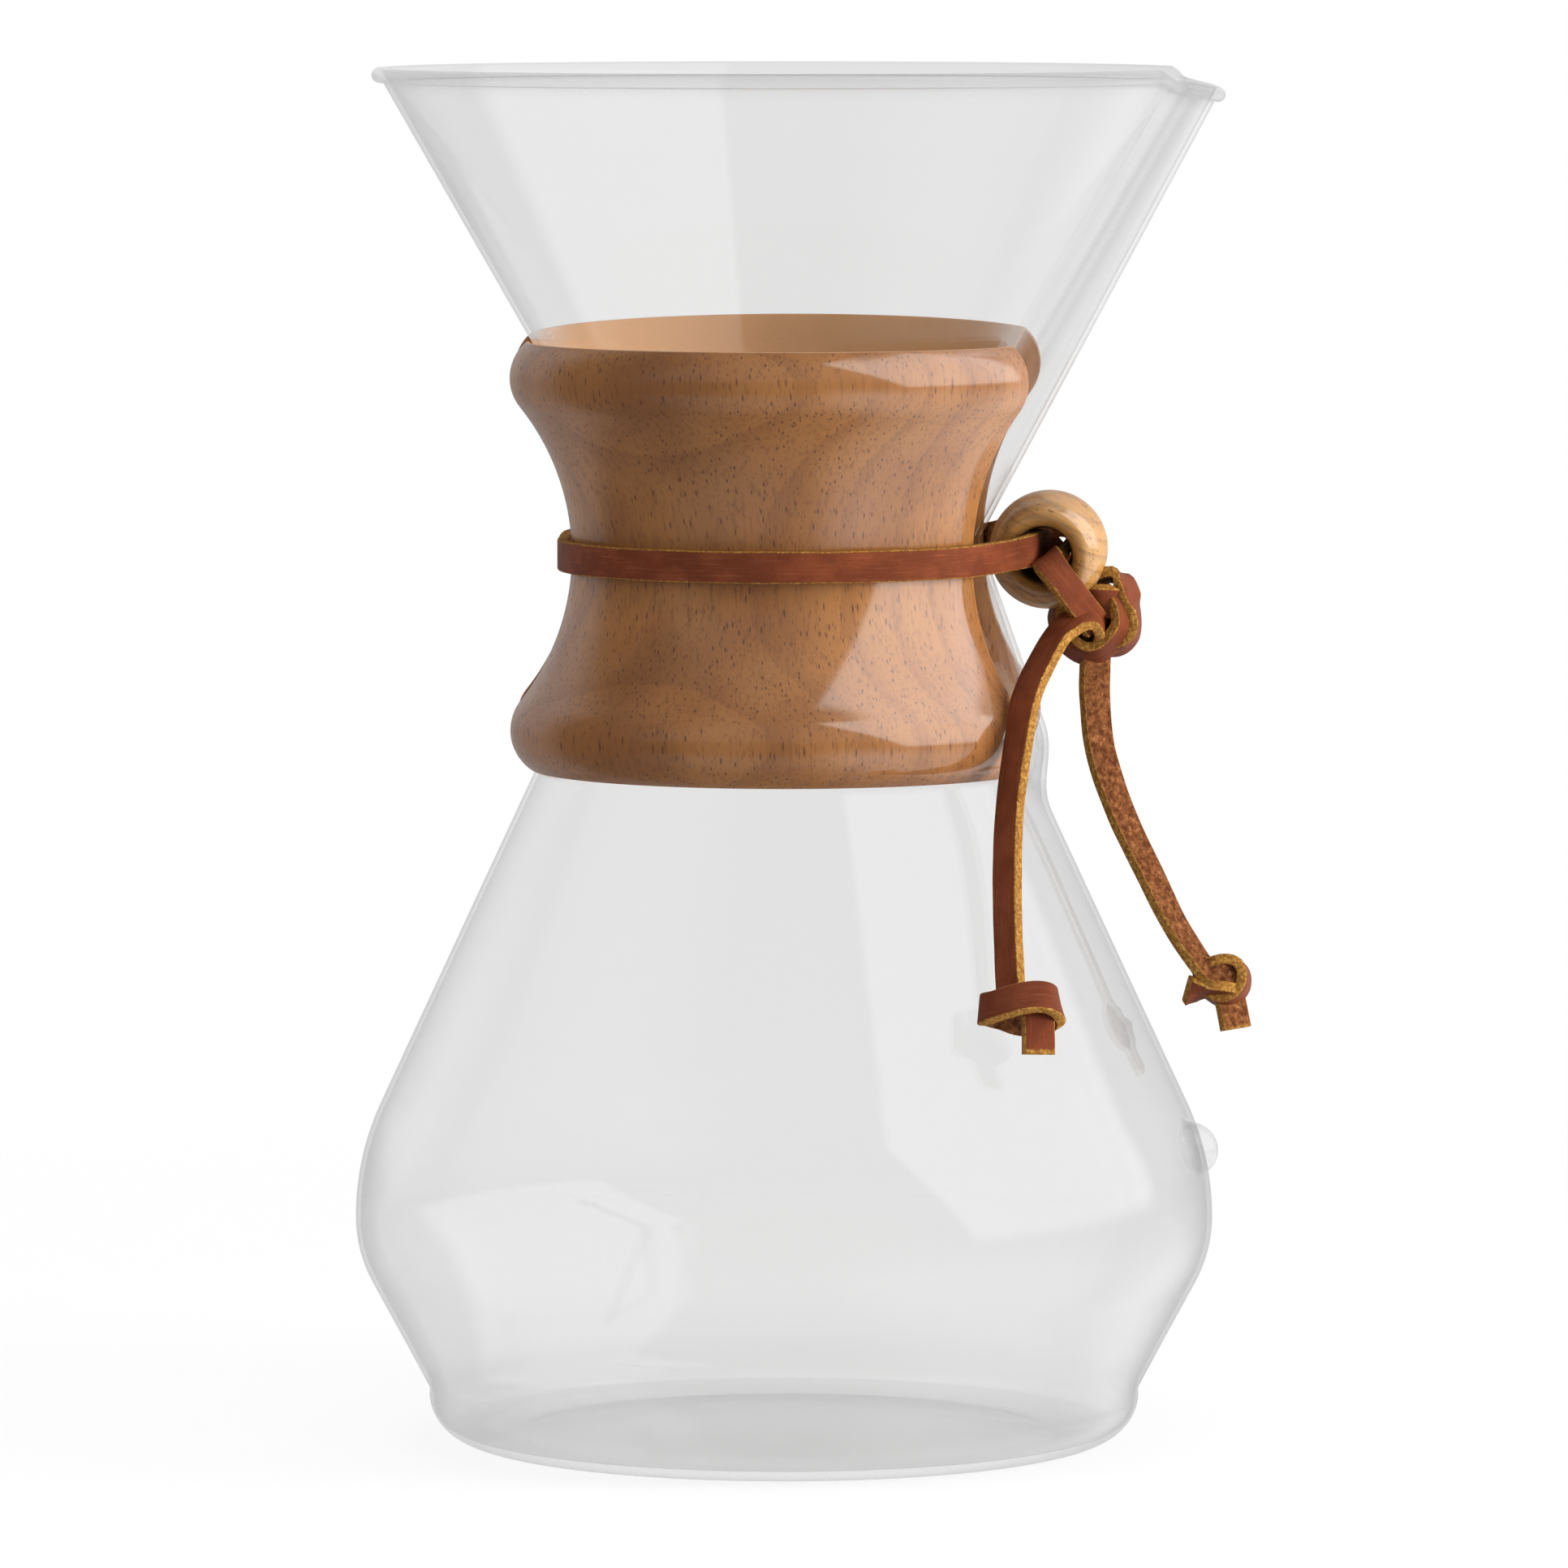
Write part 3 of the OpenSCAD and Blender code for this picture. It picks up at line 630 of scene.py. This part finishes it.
# distance to the round air channel, which bends at the neck
def channelGap(x, y, z, radius):
    beyond = channelTop + (channelTop - channelNeck) * glass["channelPast"]
    gap = np.full(x.shape, 1.0)
    for a, b in ((beyond, channelNeck), (channelNeck, channelLow)):
        way = b - a
        share = np.clip(((x - a[0]) * way[0] + (z - a[1]) * way[1]) / way.dot(way), 0, 1)
        off = (x - a[0] - share * way[0]) ** 2 + y ** 2 + (z - a[1] - share * way[1]) ** 2
        gap = np.minimum(gap, np.sqrt(off))
    return gap - radius


def buttonGap(x, y, z, radius):
    rise = glass["buttonHeight"] - glass["bulbHeight"]
    reach = bulbUp[0] + math.sqrt(glass["bulbRoundUp"] ** 2 - rise ** 2) + glass["buttonRise"] - glass["button"]
    turn = math.radians(glass["buttonTurn"])
    return np.sqrt((x - reach * math.cos(turn)) ** 2 + (y - reach * math.sin(turn)) ** 2
                   + (z - glass["buttonHeight"]) ** 2) - radius


def softUnion(a, b, width):
    near = np.maximum(width - np.abs(a - b), 0) / width
    return np.minimum(a, b) - near * near * width / 4


# the wall's radius where the channel and the button are joined to it
def drawnOut(turn, height, radius, lean, channel, buttonRadius):
    reach = radius + glassMesh["startOut"]
    for step in range(glassMesh["tries"]):
        x, y = reach * np.cos(turn), reach * np.sin(turn)
        gap = softUnion((reach - radius) * lean, channelGap(x, y, height, channel), glass["fillet"])
        gap = softUnion(gap, buttonGap(x, y, height, buttonRadius), glass["buttonFillet"])
        reach = reach - glassMesh["stride"] * gap
    return reach


def lipDrop(turn):
    soft = glass["lipRound"]
    away = np.sqrt(np.degrees(turn) ** 2 + soft ** 2) - soft
    return glass["lipDip"] * np.clip(1 - away / (glass["lipHalf"] - soft), 0, 1) ** glass["lipCurve"]


def shapeGlass(made, rows):
    points = np.array([p for p, kind in rows])
    kinds = np.array([kind for p, kind in rows])
    way = np.gradient(points, axis=0)
    leans = np.abs(way[:, 1]) / np.linalg.norm(way, axis=1)
    co = np.zeros(len(made.data.vertices) * 3)
    made.data.vertices.foreach_get("co", co)
    co = co.reshape(-1, 3)
    turn, radius, height = np.arctan2(co[:, 1], co[:, 0]), np.hypot(co[:, 0], co[:, 1]), co[:, 2].copy()
    row = np.array([np.argmin((points[:, 0] - r) ** 2 + (points[:, 1] - z) ** 2)
                    for r, z in zip(radius, height)])  # each point's row of the outline
    close = np.abs(turn) < math.radians(glassMesh["fineHalf"])
    channel, button, slope = glass["channel"], glass["button"], funnelTurn - math.pi / 2
    for kind, bore, knob in (("out", channel, button), ("in", channel - glass["wall"], -button)):
        mine = close & (kinds[row] == kind)
        rise = np.clip((height[mine] - glass["lipFrom"]) / (rimCentre[1] - glass["lipFrom"]), 0, 1)
        lower = height[mine] - lipDrop(turn[mine]) * rise * rise * (3 - 2 * rise)
        shift = (lower - height[mine]) / math.tan(slope)
        height[mine] = lower
        radius[mine] = drawnOut(turn[mine], lower, radius[mine] + shift, leans[row[mine]], bore, knob)
    mine = close & (kinds[row] == "rim")
    drop = lipDrop(turn[mine])
    level = np.full(drop.shape, rimCentre[1]) - drop
    start = rimCentre[0] - drop / math.tan(slope)
    centre = drawnOut(turn[mine], level, start, np.full(drop.shape, math.sin(slope)), channel, button)
    radius[mine] += centre - rimCentre[0]
    height[mine] -= drop
    shaped = np.stack([radius * np.cos(turn), radius * np.sin(turn), height], 1)
    made.data.vertices.foreach_set("co", shaped.ravel())
    made.data.update()
    markGlassShade(made, shaped, height + np.where(close, lipDrop(turn), 0) - rimCentre[1])


# painted shade on the glass: where its see-through tint is drawn darker (rim, foot, air channel seam, button),
# standing in for the dark lines thick and bent glass shows: share, start and fade of each
glassShadeAt = {"rim": 0.7, "rimFrom": 0.0022, "rimFade": 0.0012, "foot": 0.3, "footTo": 0.0105, "footFade": 0.0012,
          "floorFrom": 0.002, "floorFade": 0.002, "seam": 0.9, "seamAt": 0.0012, "seamHalf": 0.0008,
          "button": 0.25, "buttonTo": 0.0016, "buttonFade": 0.001}


# painted shade: the share of darker see-through tint at each point of the glass
def markGlassShade(made, shaped, rimUp):
    x, y, height = shaped.T
    seam = np.abs(channelGap(x, y, height, glass["channel"]) - glassShadeAt["seamAt"])
    knob = buttonGap(x, y, height, glass["button"])
    foot = np.clip((glassShadeAt["footTo"] - height) / glassShadeAt["footFade"], 0, 1)
    foot = foot * np.clip((height - glassShadeAt["floorFrom"]) / glassShadeAt["floorFade"], 0, 1)
    glassShade = glassShadeAt["rim"] * np.clip((rimUp + glassShadeAt["rimFrom"]) / glassShadeAt["rimFade"], 0, 1)
    glassShade += glassShadeAt["foot"] * foot
    glassShade += glassShadeAt["seam"] * np.clip(1 - seam / glassShadeAt["seamHalf"], 0, 1)
    glassShade += glassShadeAt["button"] * np.clip((glassShadeAt["buttonTo"] - knob) / glassShadeAt["buttonFade"], 0, 1)
    layer = made.data.attributes.new("glassShade", "FLOAT", "POINT")
    layer.data.foreach_set("value", glassShade.astype(np.float32))


def blowGlass():
    rows = glassOutline()
    half = math.radians(glassMesh["fineHalf"])
    made = drawOutline("glass_body", [p for p, kind in rows], -half)
    bpy.ops.mesh.select_all(action="SELECT")
    spinOn(2 * half, glassMesh["fineSteps"])
    spinOn(2 * math.pi - 2 * half, glassMesh["wideSteps"])
    bpy.ops.object.mode_set(mode="OBJECT")
    finishMesh(made, allSmooth, glassMesh["weld"])
    shapeGlass(made, rows)
    return made


# glassLook: the edge colour is painted shade, the darker see-through tint at grazing views
glassLook = {"tint": (0.985, 0.987, 0.986, 1.0), "ior": 1.25, "straight": 0.985, "mirror": 0.019,
             "thin": (0.953, 0.953, 0.953, 1.0), "edge": (0.86, 0.86, 0.86, 1.0), "edgeShadeShare": 0.6,
             "drawn": (26.0, 26.0, 9.0), "ripple": 0.12, "rippleDeep": 0.0015, "gleam": 0.03}


# nearly all light goes straight through, with painted shade: the see-through tint darker at the edges and where
# the glass is marked, and the surface mirrors
def glassMaterial():
    made, shader, wire = newMaterial("blown glass")
    place = wire.node("ShaderNodeTexCoord", out="Object")
    ripple = wire.noise(wire.stretch(place, glassLook["drawn"]), 1.0, 1.5)
    bump = wire.bump(ripple, glassLook["ripple"], glassLook["rippleDeep"])
    setSurface(shader, wire, {"Base Color": glassLook["tint"], "Roughness": 0.0, "IOR": glassLook["ior"],
                              "Transmission Weight": 1.0, "Normal": bump})
    facing = wire.node("ShaderNodeLayerWeight", {}, {"Blend": 0.5}, out="Facing")
    light = wire.node("ShaderNodeBsdfTransparent", {}, {"Color": glassLook["thin"]})
    shadedThrough = wire.node("ShaderNodeBsdfTransparent", {}, {"Color": glassLook["edge"]})
    # painted shade: a darker see-through tint towards the edges and on the marked rim, foot, seam and button
    depth = wire.maths("MINIMUM", facing ** 4 * glassLook["edgeShadeShare"] + wire.fact("glassShade"), 1.0)
    straight = wire.layer(depth, light, shadedThrough)
    gleam = wire.node("ShaderNodeBsdfAnisotropic", {}, {"Color": (1, 1, 1, 1), "Roughness": glassLook["gleam"],
                                                        "Normal": bump})
    mirror = facing ** 5 * (1 - glassLook["mirror"]) + glassLook["mirror"]
    bent = Wire(made.node_tree, shader.outputs["BSDF"])
    setOutput(made, wire.layer(glassLook["straight"], bent, wire.layer(mirror, straight, gleam)))
    return made


glassBody = dress(blowGlass(), glassMaterial(), ["glass_carafe"])
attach(glassBody, "carafe")
print("glass blown,", len(glassBody.data.vertices), "points")

# wooden collar: a section spun over each half, its edges eased
collar = {"height": 0.1528, "waist": 0.0365, "flare": 0.0471, "flareRise": 0.0303, "lip": 0.008, "fit": 0.0004,
          "notch": 23.5, "kerf": 3.0, "endStep": 4.0, "steps": 92,
          "lipRows": 20, "waistRows": 44, "seatRows": 52,
          "ease": 0.0012, "backEase": 0.0005, "easeAngle": 38, "easeSteps": 4, "crisp": 40, "weld": 1e-6,
          "innerDeep": 0.0004, "backRise": 0.0006}


# the inside lies on the neck, with a little room
def seatRadius(height):
    fit = glass["neckRound"] - collar["fit"]
    top = neckCentre + fit * turned(funnelTurn)
    low = neckCentre + fit * turned(flankTurn)
    if height > top[1]:
        return top[0] + (height - top[1]) / math.tan(funnelTurn - math.pi / 2)
    if height < low[1]:
        return low[0] + (low[1] - height) * math.tan(flankTurn - math.pi)
    return neckCentre[0] - math.sqrt(fit ** 2 - (height - neckCentre[1]) ** 2)


# where the rounded lip meets the inside, found by halving
def lipEnd(centre, start, end):
    for step in range(40):
        middle = (start + end) / 2
        spot = centre + collar["lip"] * turned(middle)
        if spot[0] > seatRadius(spot[1]):
            start = middle
        else:
            end = middle
    return start


def collarSection():
    lip = np.array((collar["flare"] - collar["lip"], collar["flareRise"]))
    gap = collar["waist"] - lip[0]
    curve = (gap ** 2 + collar["flareRise"] ** 2 - collar["lip"] ** 2) / (2 * (collar["lip"] - gap))
    waist = np.array((collar["waist"] + curve, collar["height"]))
    upper, lower = lip + (0, collar["height"]), np.array((lip[0], collar["height"] - lip[1]))
    flare = heading(upper - waist) % (2 * math.pi)
    topEnd = lipEnd(upper, flare - math.pi, math.pi * 0.75)
    lowEnd = lipEnd(lower, math.pi - flare, -math.pi * 0.75)
    outer = arcPoints(lower, collar["lip"], lowEnd, math.pi - flare, collar["lipRows"])
    outer += arcPoints(waist, curve, 2 * math.pi - flare, flare, collar["waistRows"])[1:]
    outer += arcPoints(upper, collar["lip"], flare - math.pi, topEnd, collar["lipRows"])[1:]
    heights = np.linspace(outer[-1][1], outer[0][1], collar["seatRows"])[1:-1]
    return outer + [np.array((seatRadius(z), z)) for z in heights]


def turnCollar(name, ease):
    section = collarSection()
    start, end = math.radians(collar["kerf"] - 180), math.radians(-collar["notch"])
    step = math.radians(collar["endStep"])
    made = drawOutline(name, section, start)
    bpy.ops.mesh.select_all(action="SELECT")
    bpy.ops.mesh.edge_face_add()
    spinOn(step, 1)
    spinOn(end - start - 2 * step, collar["steps"])
    spinOn(step, 1)
    bpy.ops.object.mode_set(mode="OBJECT")
    finishMesh(made, allSmooth, collar["weld"])
    soften = made.modifiers.new("ease", "BEVEL")
    soften.limit_method = "ANGLE"
    soften.angle_limit = math.radians(collar["easeAngle"])
    soften.width = ease
    soften.segments = collar["easeSteps"]
    pick(made)
    bpy.ops.object.modifier_apply(modifier="ease")
    bpy.ops.object.shade_smooth_by_angle(angle=math.radians(collar["crisp"]))
    # painted light: points on the inside face that rests on the neck are marked to be painted paler
    layer = made.data.attributes.new("inner", "FLOAT", "POINT")
    for vert, fact in zip(made.data.vertices, layer.data):
        gap = math.hypot(vert.co.x, vert.co.y) - seatRadius(vert.co.z)
        fact.value = 1.0 if gap < collar["innerDeep"] else 0.0
    return made


def turnBackCollar():
    made = turnCollar("collar_back_wood", collar["backEase"])
    rise = Matrix.Translation((0, 0, collar["backRise"]))
    made.data.transform(rise @ backPlace @ Matrix.Diagonal((1, -1, 1, 1)))
    finishMesh(made, collar["crisp"])
    return made


# woodLook: the inside colour is painted light, far paler than the wood, standing in for light reaching the
# inside face through the glass
woodLook = {"pale": tone(152, 101, 54), "mid": tone(129, 81, 41), "late": tone(105, 62, 32),
            "pore": tone(78, 40, 22), "inner": tone(208, 156, 104), "innerShare": 0.78, "pith": (0.05, 0.07),
            "period": 0.0064, "rings": 0.26, "gloss": 0.1, "coatIor": 1.9, "edgeDull": 0.8}
# figure of the collar's and the bead's wood, close across the grain and long with it
figure = {"warp": 22.0, "warpDeep": 0.008, "fibre": (1500.0, 1500.0, 45.0), "fibreShare": 0.45, "cloud": 38.0,
          "wide": (1250.0, 210.0), "fine": (2100.0, 300.0), "fineShare": 0.7, "poreShare": 0.85,
          "bump": 0.25, "bumpDeep": 0.0001, "specular": 0.45}


def pores(wire, place, close, lengthwise):
    spread = wire.stretch(place, (close, close, lengthwise))
    cell = wire.node("ShaderNodeTexVoronoi", {}, {"Vector": spread, "Scale": 1.0}, out="Distance")
    chance = wire.node("ShaderNodeSeparateColor", {}, {"Color": cell.out("Color")})
    return wire.ease(cell, 0.28, 0.1) * wire.ease(chance, 0.05, 0.35)


def woodMaterial(name, look, grainTurn):
    made, shader, wire = newMaterial(name)
    place = wire.node("ShaderNodeTexCoord", out="Object")
    block = wire.node("ShaderNodeMapping", {}, {"Vector": place, "Rotation": grainTurn})
    warp = wire.noise(block, figure["warp"], 2.0)
    split = wire.node("ShaderNodeSeparateXYZ", {}, {"Vector": block}, out="X")
    fromX, fromY = split - look["pith"][0], split.out("Y") - look["pith"][1]
    reach = (fromX * fromX + fromY * fromY) ** 0.5 + (warp - 0.5) * figure["warpDeep"]
    ring = wire.maths("FRACT", reach / look["period"])
    late = wire.ease(ring, 0.55, 0.94) * wire.ease(ring, 1.0, 0.95)
    fibre = wire.noise(wire.stretch(block, figure["fibre"]), 1.0, 3.0, 0.6)
    pore = wire.maths("MAXIMUM", pores(wire, block, *figure["wide"]),
                      pores(wire, block, *figure["fine"]) * figure["fineShare"])
    cloud = wire.noise(block, figure["cloud"], 2.0)
    colour = wire.mix(wire.ease(cloud, 0.3, 0.7), look["mid"], look["pale"])
    colour = wire.mix(late * look["rings"], colour, look["late"])
    colour = wire.mix(wire.ease(fibre, 0.48, 0.7) * figure["fibreShare"], colour, look["late"])
    colour = wire.mix(pore * figure["poreShare"], colour, look["pore"])
    bump = wire.bump(fibre * 0.15 - pore, figure["bump"], figure["bumpDeep"])
    gloss = 0.36 + fibre * 0.1 + pore * 0.2
    facing = wire.node("ShaderNodeLayerWeight", {}, {"Blend": 0.5}, out="Facing")
    coat = 1 - wire.ease(facing, 0.35, 0.7) * look["edgeDull"]
    # painted light: the inside face is painted paler and loses its coat
    if "inner" in look:
        inner = wire.fact("inner")
        colour = wire.mix(inner * look["innerShare"], colour, look["inner"])
        coat = coat * (1 - inner)
    # painted shade: the inside of the bead's hole is painted near black and loses its coat
    if "hole" in look:
        hole = wire.fact("hole")
        colour = wire.mix(hole, colour, look["holeShade"])
        coat = coat * (1 - hole)
    setSurface(shader, wire, {"Base Color": colour, "Roughness": gloss, "Normal": bump, "Coat Weight": coat,
                              "Coat Roughness": look["gloss"], "Coat IOR": look["coatIor"],
                              "Specular IOR Level": figure["specular"]})
    return made


collarWood = woodMaterial("collar wood", woodLook, (0.03, 0.04, 0.0))
collarFront = turnCollar("collar_front_wood", collar["ease"])
dress(collarFront, collarWood, ["collar_front"])
collarBack = dress(turnBackCollar(), collarWood, ["collar_back"])
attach(collarFront, "front_collar")
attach(collarBack, "back_collar")
print("collar turned,", len(collarFront.data.polygons), "faces a half")

# bead: a ring of oval section on the bead's axis
# beadLook: the hole colour and the hole radii set the painted shade inside the bead's hole
beadLook = {"pale": tone(176, 130, 70), "mid": tone(156, 108, 54), "late": tone(122, 82, 42),
            "pore": tone(96, 62, 32), "pith": (0.03, 0.012), "period": 0.0022, "rings": 0.45, "gloss": 0.2,
            "coatIor": 2.1, "edgeDull": 0.85, "holeShade": tone(30, 17, 10), "hole": (0.0049, 0.0053)}


def turnBead():
    bpy.ops.object.select_all(action="DESELECT")
    middle, half = (bead["radius"] + bead["hole"]) / 2, (bead["radius"] - bead["hole"]) / 2
    bpy.ops.mesh.primitive_torus_add(major_radius=middle, minor_radius=half, major_segments=bead["round"],
                                     minor_segments=bead["section"])
    made = bpy.context.object
    made.name = made.data.name = "bead_wood"
    bpy.ops.object.mode_set(mode="EDIT")
    bpy.ops.mesh.select_all(action="SELECT")
    bpy.ops.transform.resize(value=(1, 1, bead["thick"] / 2 / half))
    bpy.ops.object.mode_set(mode="OBJECT")
    # painted shade: points close to the axis, inside the hole, are marked to be painted dark
    near, far = beadLook["hole"]
    layer = made.data.attributes.new("hole", "FLOAT", "POINT")
    for vert, fact in zip(made.data.vertices, layer.data):
        fact.value = min(max((far - math.hypot(vert.co.x, vert.co.y)) / (far - near), 0), 1)
    aim = beadAxis.to_track_quat("Z", "Y").to_matrix().to_4x4()
    made.data.transform(Matrix.Translation(bead["centre"]) @ aim)
    finishMesh(made, allSmooth)
    return made


beadGrain = woodMaterial("bead wood", beadLook, (0.0, 1.1, 0.3))
beadWood = dress(turnBead(), beadGrain, ["tie_bead"])
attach(beadWood, "bead")
print("bead turned")

# pale floor, white studio and soft lamps
studio = {"floor": 0.6, "sides": 96, "fadeFrom": 0.2, "fadeTo": 0.95, "drop": 0.0003, "lift": 0.78,
          "floorColour": (0.86, 0.86, 0.86, 1.0), "white": (1.0, 1.0, 1.0, 1.0),
          "speck": 60.0, "speckShare": 0.04}


def layFloor():
    bpy.ops.object.select_all(action="DESELECT")
    bpy.ops.mesh.primitive_circle_add(vertices=studio["sides"], radius=studio["floor"], fill_type="NGON",
                                      location=(0, 0, -studio["drop"]))
    made = bpy.context.object
    made.name = "floor"
    bpy.ops.object.transform_apply(location=True)
    material, shader, wire = newMaterial("pale floor")
    place = wire.node("ShaderNodeTexCoord", out="Object")
    away = wire.node("ShaderNodeVectorMath", {"operation": "LENGTH"}, {0: place}, out="Value")
    speck = wire.noise(place, studio["speck"], 3.0) * studio["speckShare"]
    setSurface(shader, wire, {"Base Color": wire.mix(speck, studio["floorColour"], studio["white"]),
                              "Roughness": 0.9, "Specular IOR Level": 0.1})
    path = wire.node("ShaderNodeLightPath", out="Is Camera Ray")
    white = wire.node("ShaderNodeEmission", {}, {"Color": studio["white"], "Strength": 1.0})
    clear = wire.node("ShaderNodeBsdfTransparent")
    lifted = wire.layer(path * studio["lift"], Wire(material.node_tree, shader.outputs["BSDF"]), white)
    share = wire.ease(away, studio["fadeFrom"], studio["floor"] * studio["fadeTo"])
    setOutput(material, wire.layer(share, lifted, clear))
    made.data.materials.append(material)
    made.visible_glossy = False


# what shines from where: x to the right, y to the back, angles in radians; gloss sees a window on the right,
# a pale wall behind, the table and a little of the front, and everything else an even light
sky = {"window": 1.8, "windowLean": 0.45, "windowLeft": (0.96, 1.03), "windowRight": (2.22, 2.06),
       "windowLow": (-0.03, 0.08), "windowTop": (1.17, 1.06), "wallBack": (0.15, 0.75),
       "wallSide": (-0.6, 0.5, 0.52, 0.66), "wallUp": (-0.05, 0.12, 1.0, 1.4), "table": 0.75,
       "tableSide": (0.2, 0.7), "tableUp": (0.1, -0.35), "front": 0.14, "frontBack": (-0.3, -0.8),
       "frontUp": (0.15, 0.4), "over": 0.05, "overUp": (0.5, 0.95), "dim": 0.03, "even": 0.28,
       "evenFrom": (("back", -0.1, -0.9, 0.1), ("back", 0.2, 0.9, 0.12), ("side", -0.7, 0.9, 0.42),
                    ("up", -0.1, 0.9, 0.26))}


def lightWorld():
    world = bpy.data.worlds.new("studio")
    scene.world = world
    world.use_nodes = True
    wire = Wire(world.node_tree)
    toward = wire.node("ShaderNodeTexCoord", out="Generated")
    split = wire.node("ShaderNodeSeparateXYZ", {}, {"Vector": toward}, out="X")
    back, up = split.out("Y"), split.out("Z")
    path = wire.node("ShaderNodeLightPath", out="Is Camera Ray")
    glossy = path.out("Is Glossy Ray")
    turn = wire.maths("ARCTAN2", split, back * -1)
    rise = wire.maths("ARCSINE", up)
    leaning = turn + rise * sky["windowLean"]
    window = wire.ease(leaning, *sky["windowLeft"]) * wire.ease(turn, *sky["windowRight"])
    window = window * wire.ease(rise, *sky["windowLow"]) * wire.ease(rise, *sky["windowTop"]) * sky["window"]
    wall = wire.ease(back, *sky["wallBack"]) * wire.ease(split, *sky["wallSide"])
    wall = wall * wire.ease(up, *sky["wallUp"])
    table = wire.ease(split, *sky["tableSide"]) * wire.ease(up, *sky["tableUp"]) * sky["table"]
    steep = wire.maths("ABSOLUTE", up)
    front = wire.ease(back, *sky["frontBack"]) * wire.ease(steep, *sky["frontUp"]) * sky["front"]
    mirrored = sky["dim"] + window + wall + table + front + wire.ease(up, *sky["overUp"]) * sky["over"]
    even = sky["even"]
    for axis, low, high, share in sky["evenFrom"]:
        even = even + wire.ease({"side": split, "back": back, "up": up}[axis], low, high) * share
    level = glossy * mirrored + (1 - glossy) * even
    level = path + (1 - path) * level
    shine = world.node_tree.nodes["Background"]
    wire.feed(shine.inputs["Color"], wire.node("ShaderNodeCombineColor", {}, {0: level, 1: level, 2: level}))
    shine.inputs["Strength"].default_value = 1.0


lamps = {"key": {"place": (1.25, -0.32, 0.34), "size": (0.7, 0.8), "power": 26.5},
         "fill": {"place": (-1.25, -0.8, 0.75), "size": (0.8, 1.1), "power": 6.0},
         "top": {"place": (-0.05, -0.45, 1.4), "size": (0.9, 0.9), "power": 4.0}}
lampAim = Vector((0, 0, 0.13))


def hangLamps():
    for name, lamp in lamps.items():
        data = bpy.data.lights.new(name, "AREA")
        data.shape = "RECTANGLE"
        data.size, data.size_y = lamp["size"]
        data.energy = lamp["power"]
        made = bpy.data.objects.new(name, data)
        scene.collection.objects.link(made)
        made.location = lamp["place"]
        made.rotation_euler = (lampAim - made.location).to_track_quat("-Z", "Y").to_euler()
        made.visible_camera = False
        made.visible_transmission = False
        made.visible_glossy = False


layFloor()
lightWorld()
hangLamps()
print("studio lit")
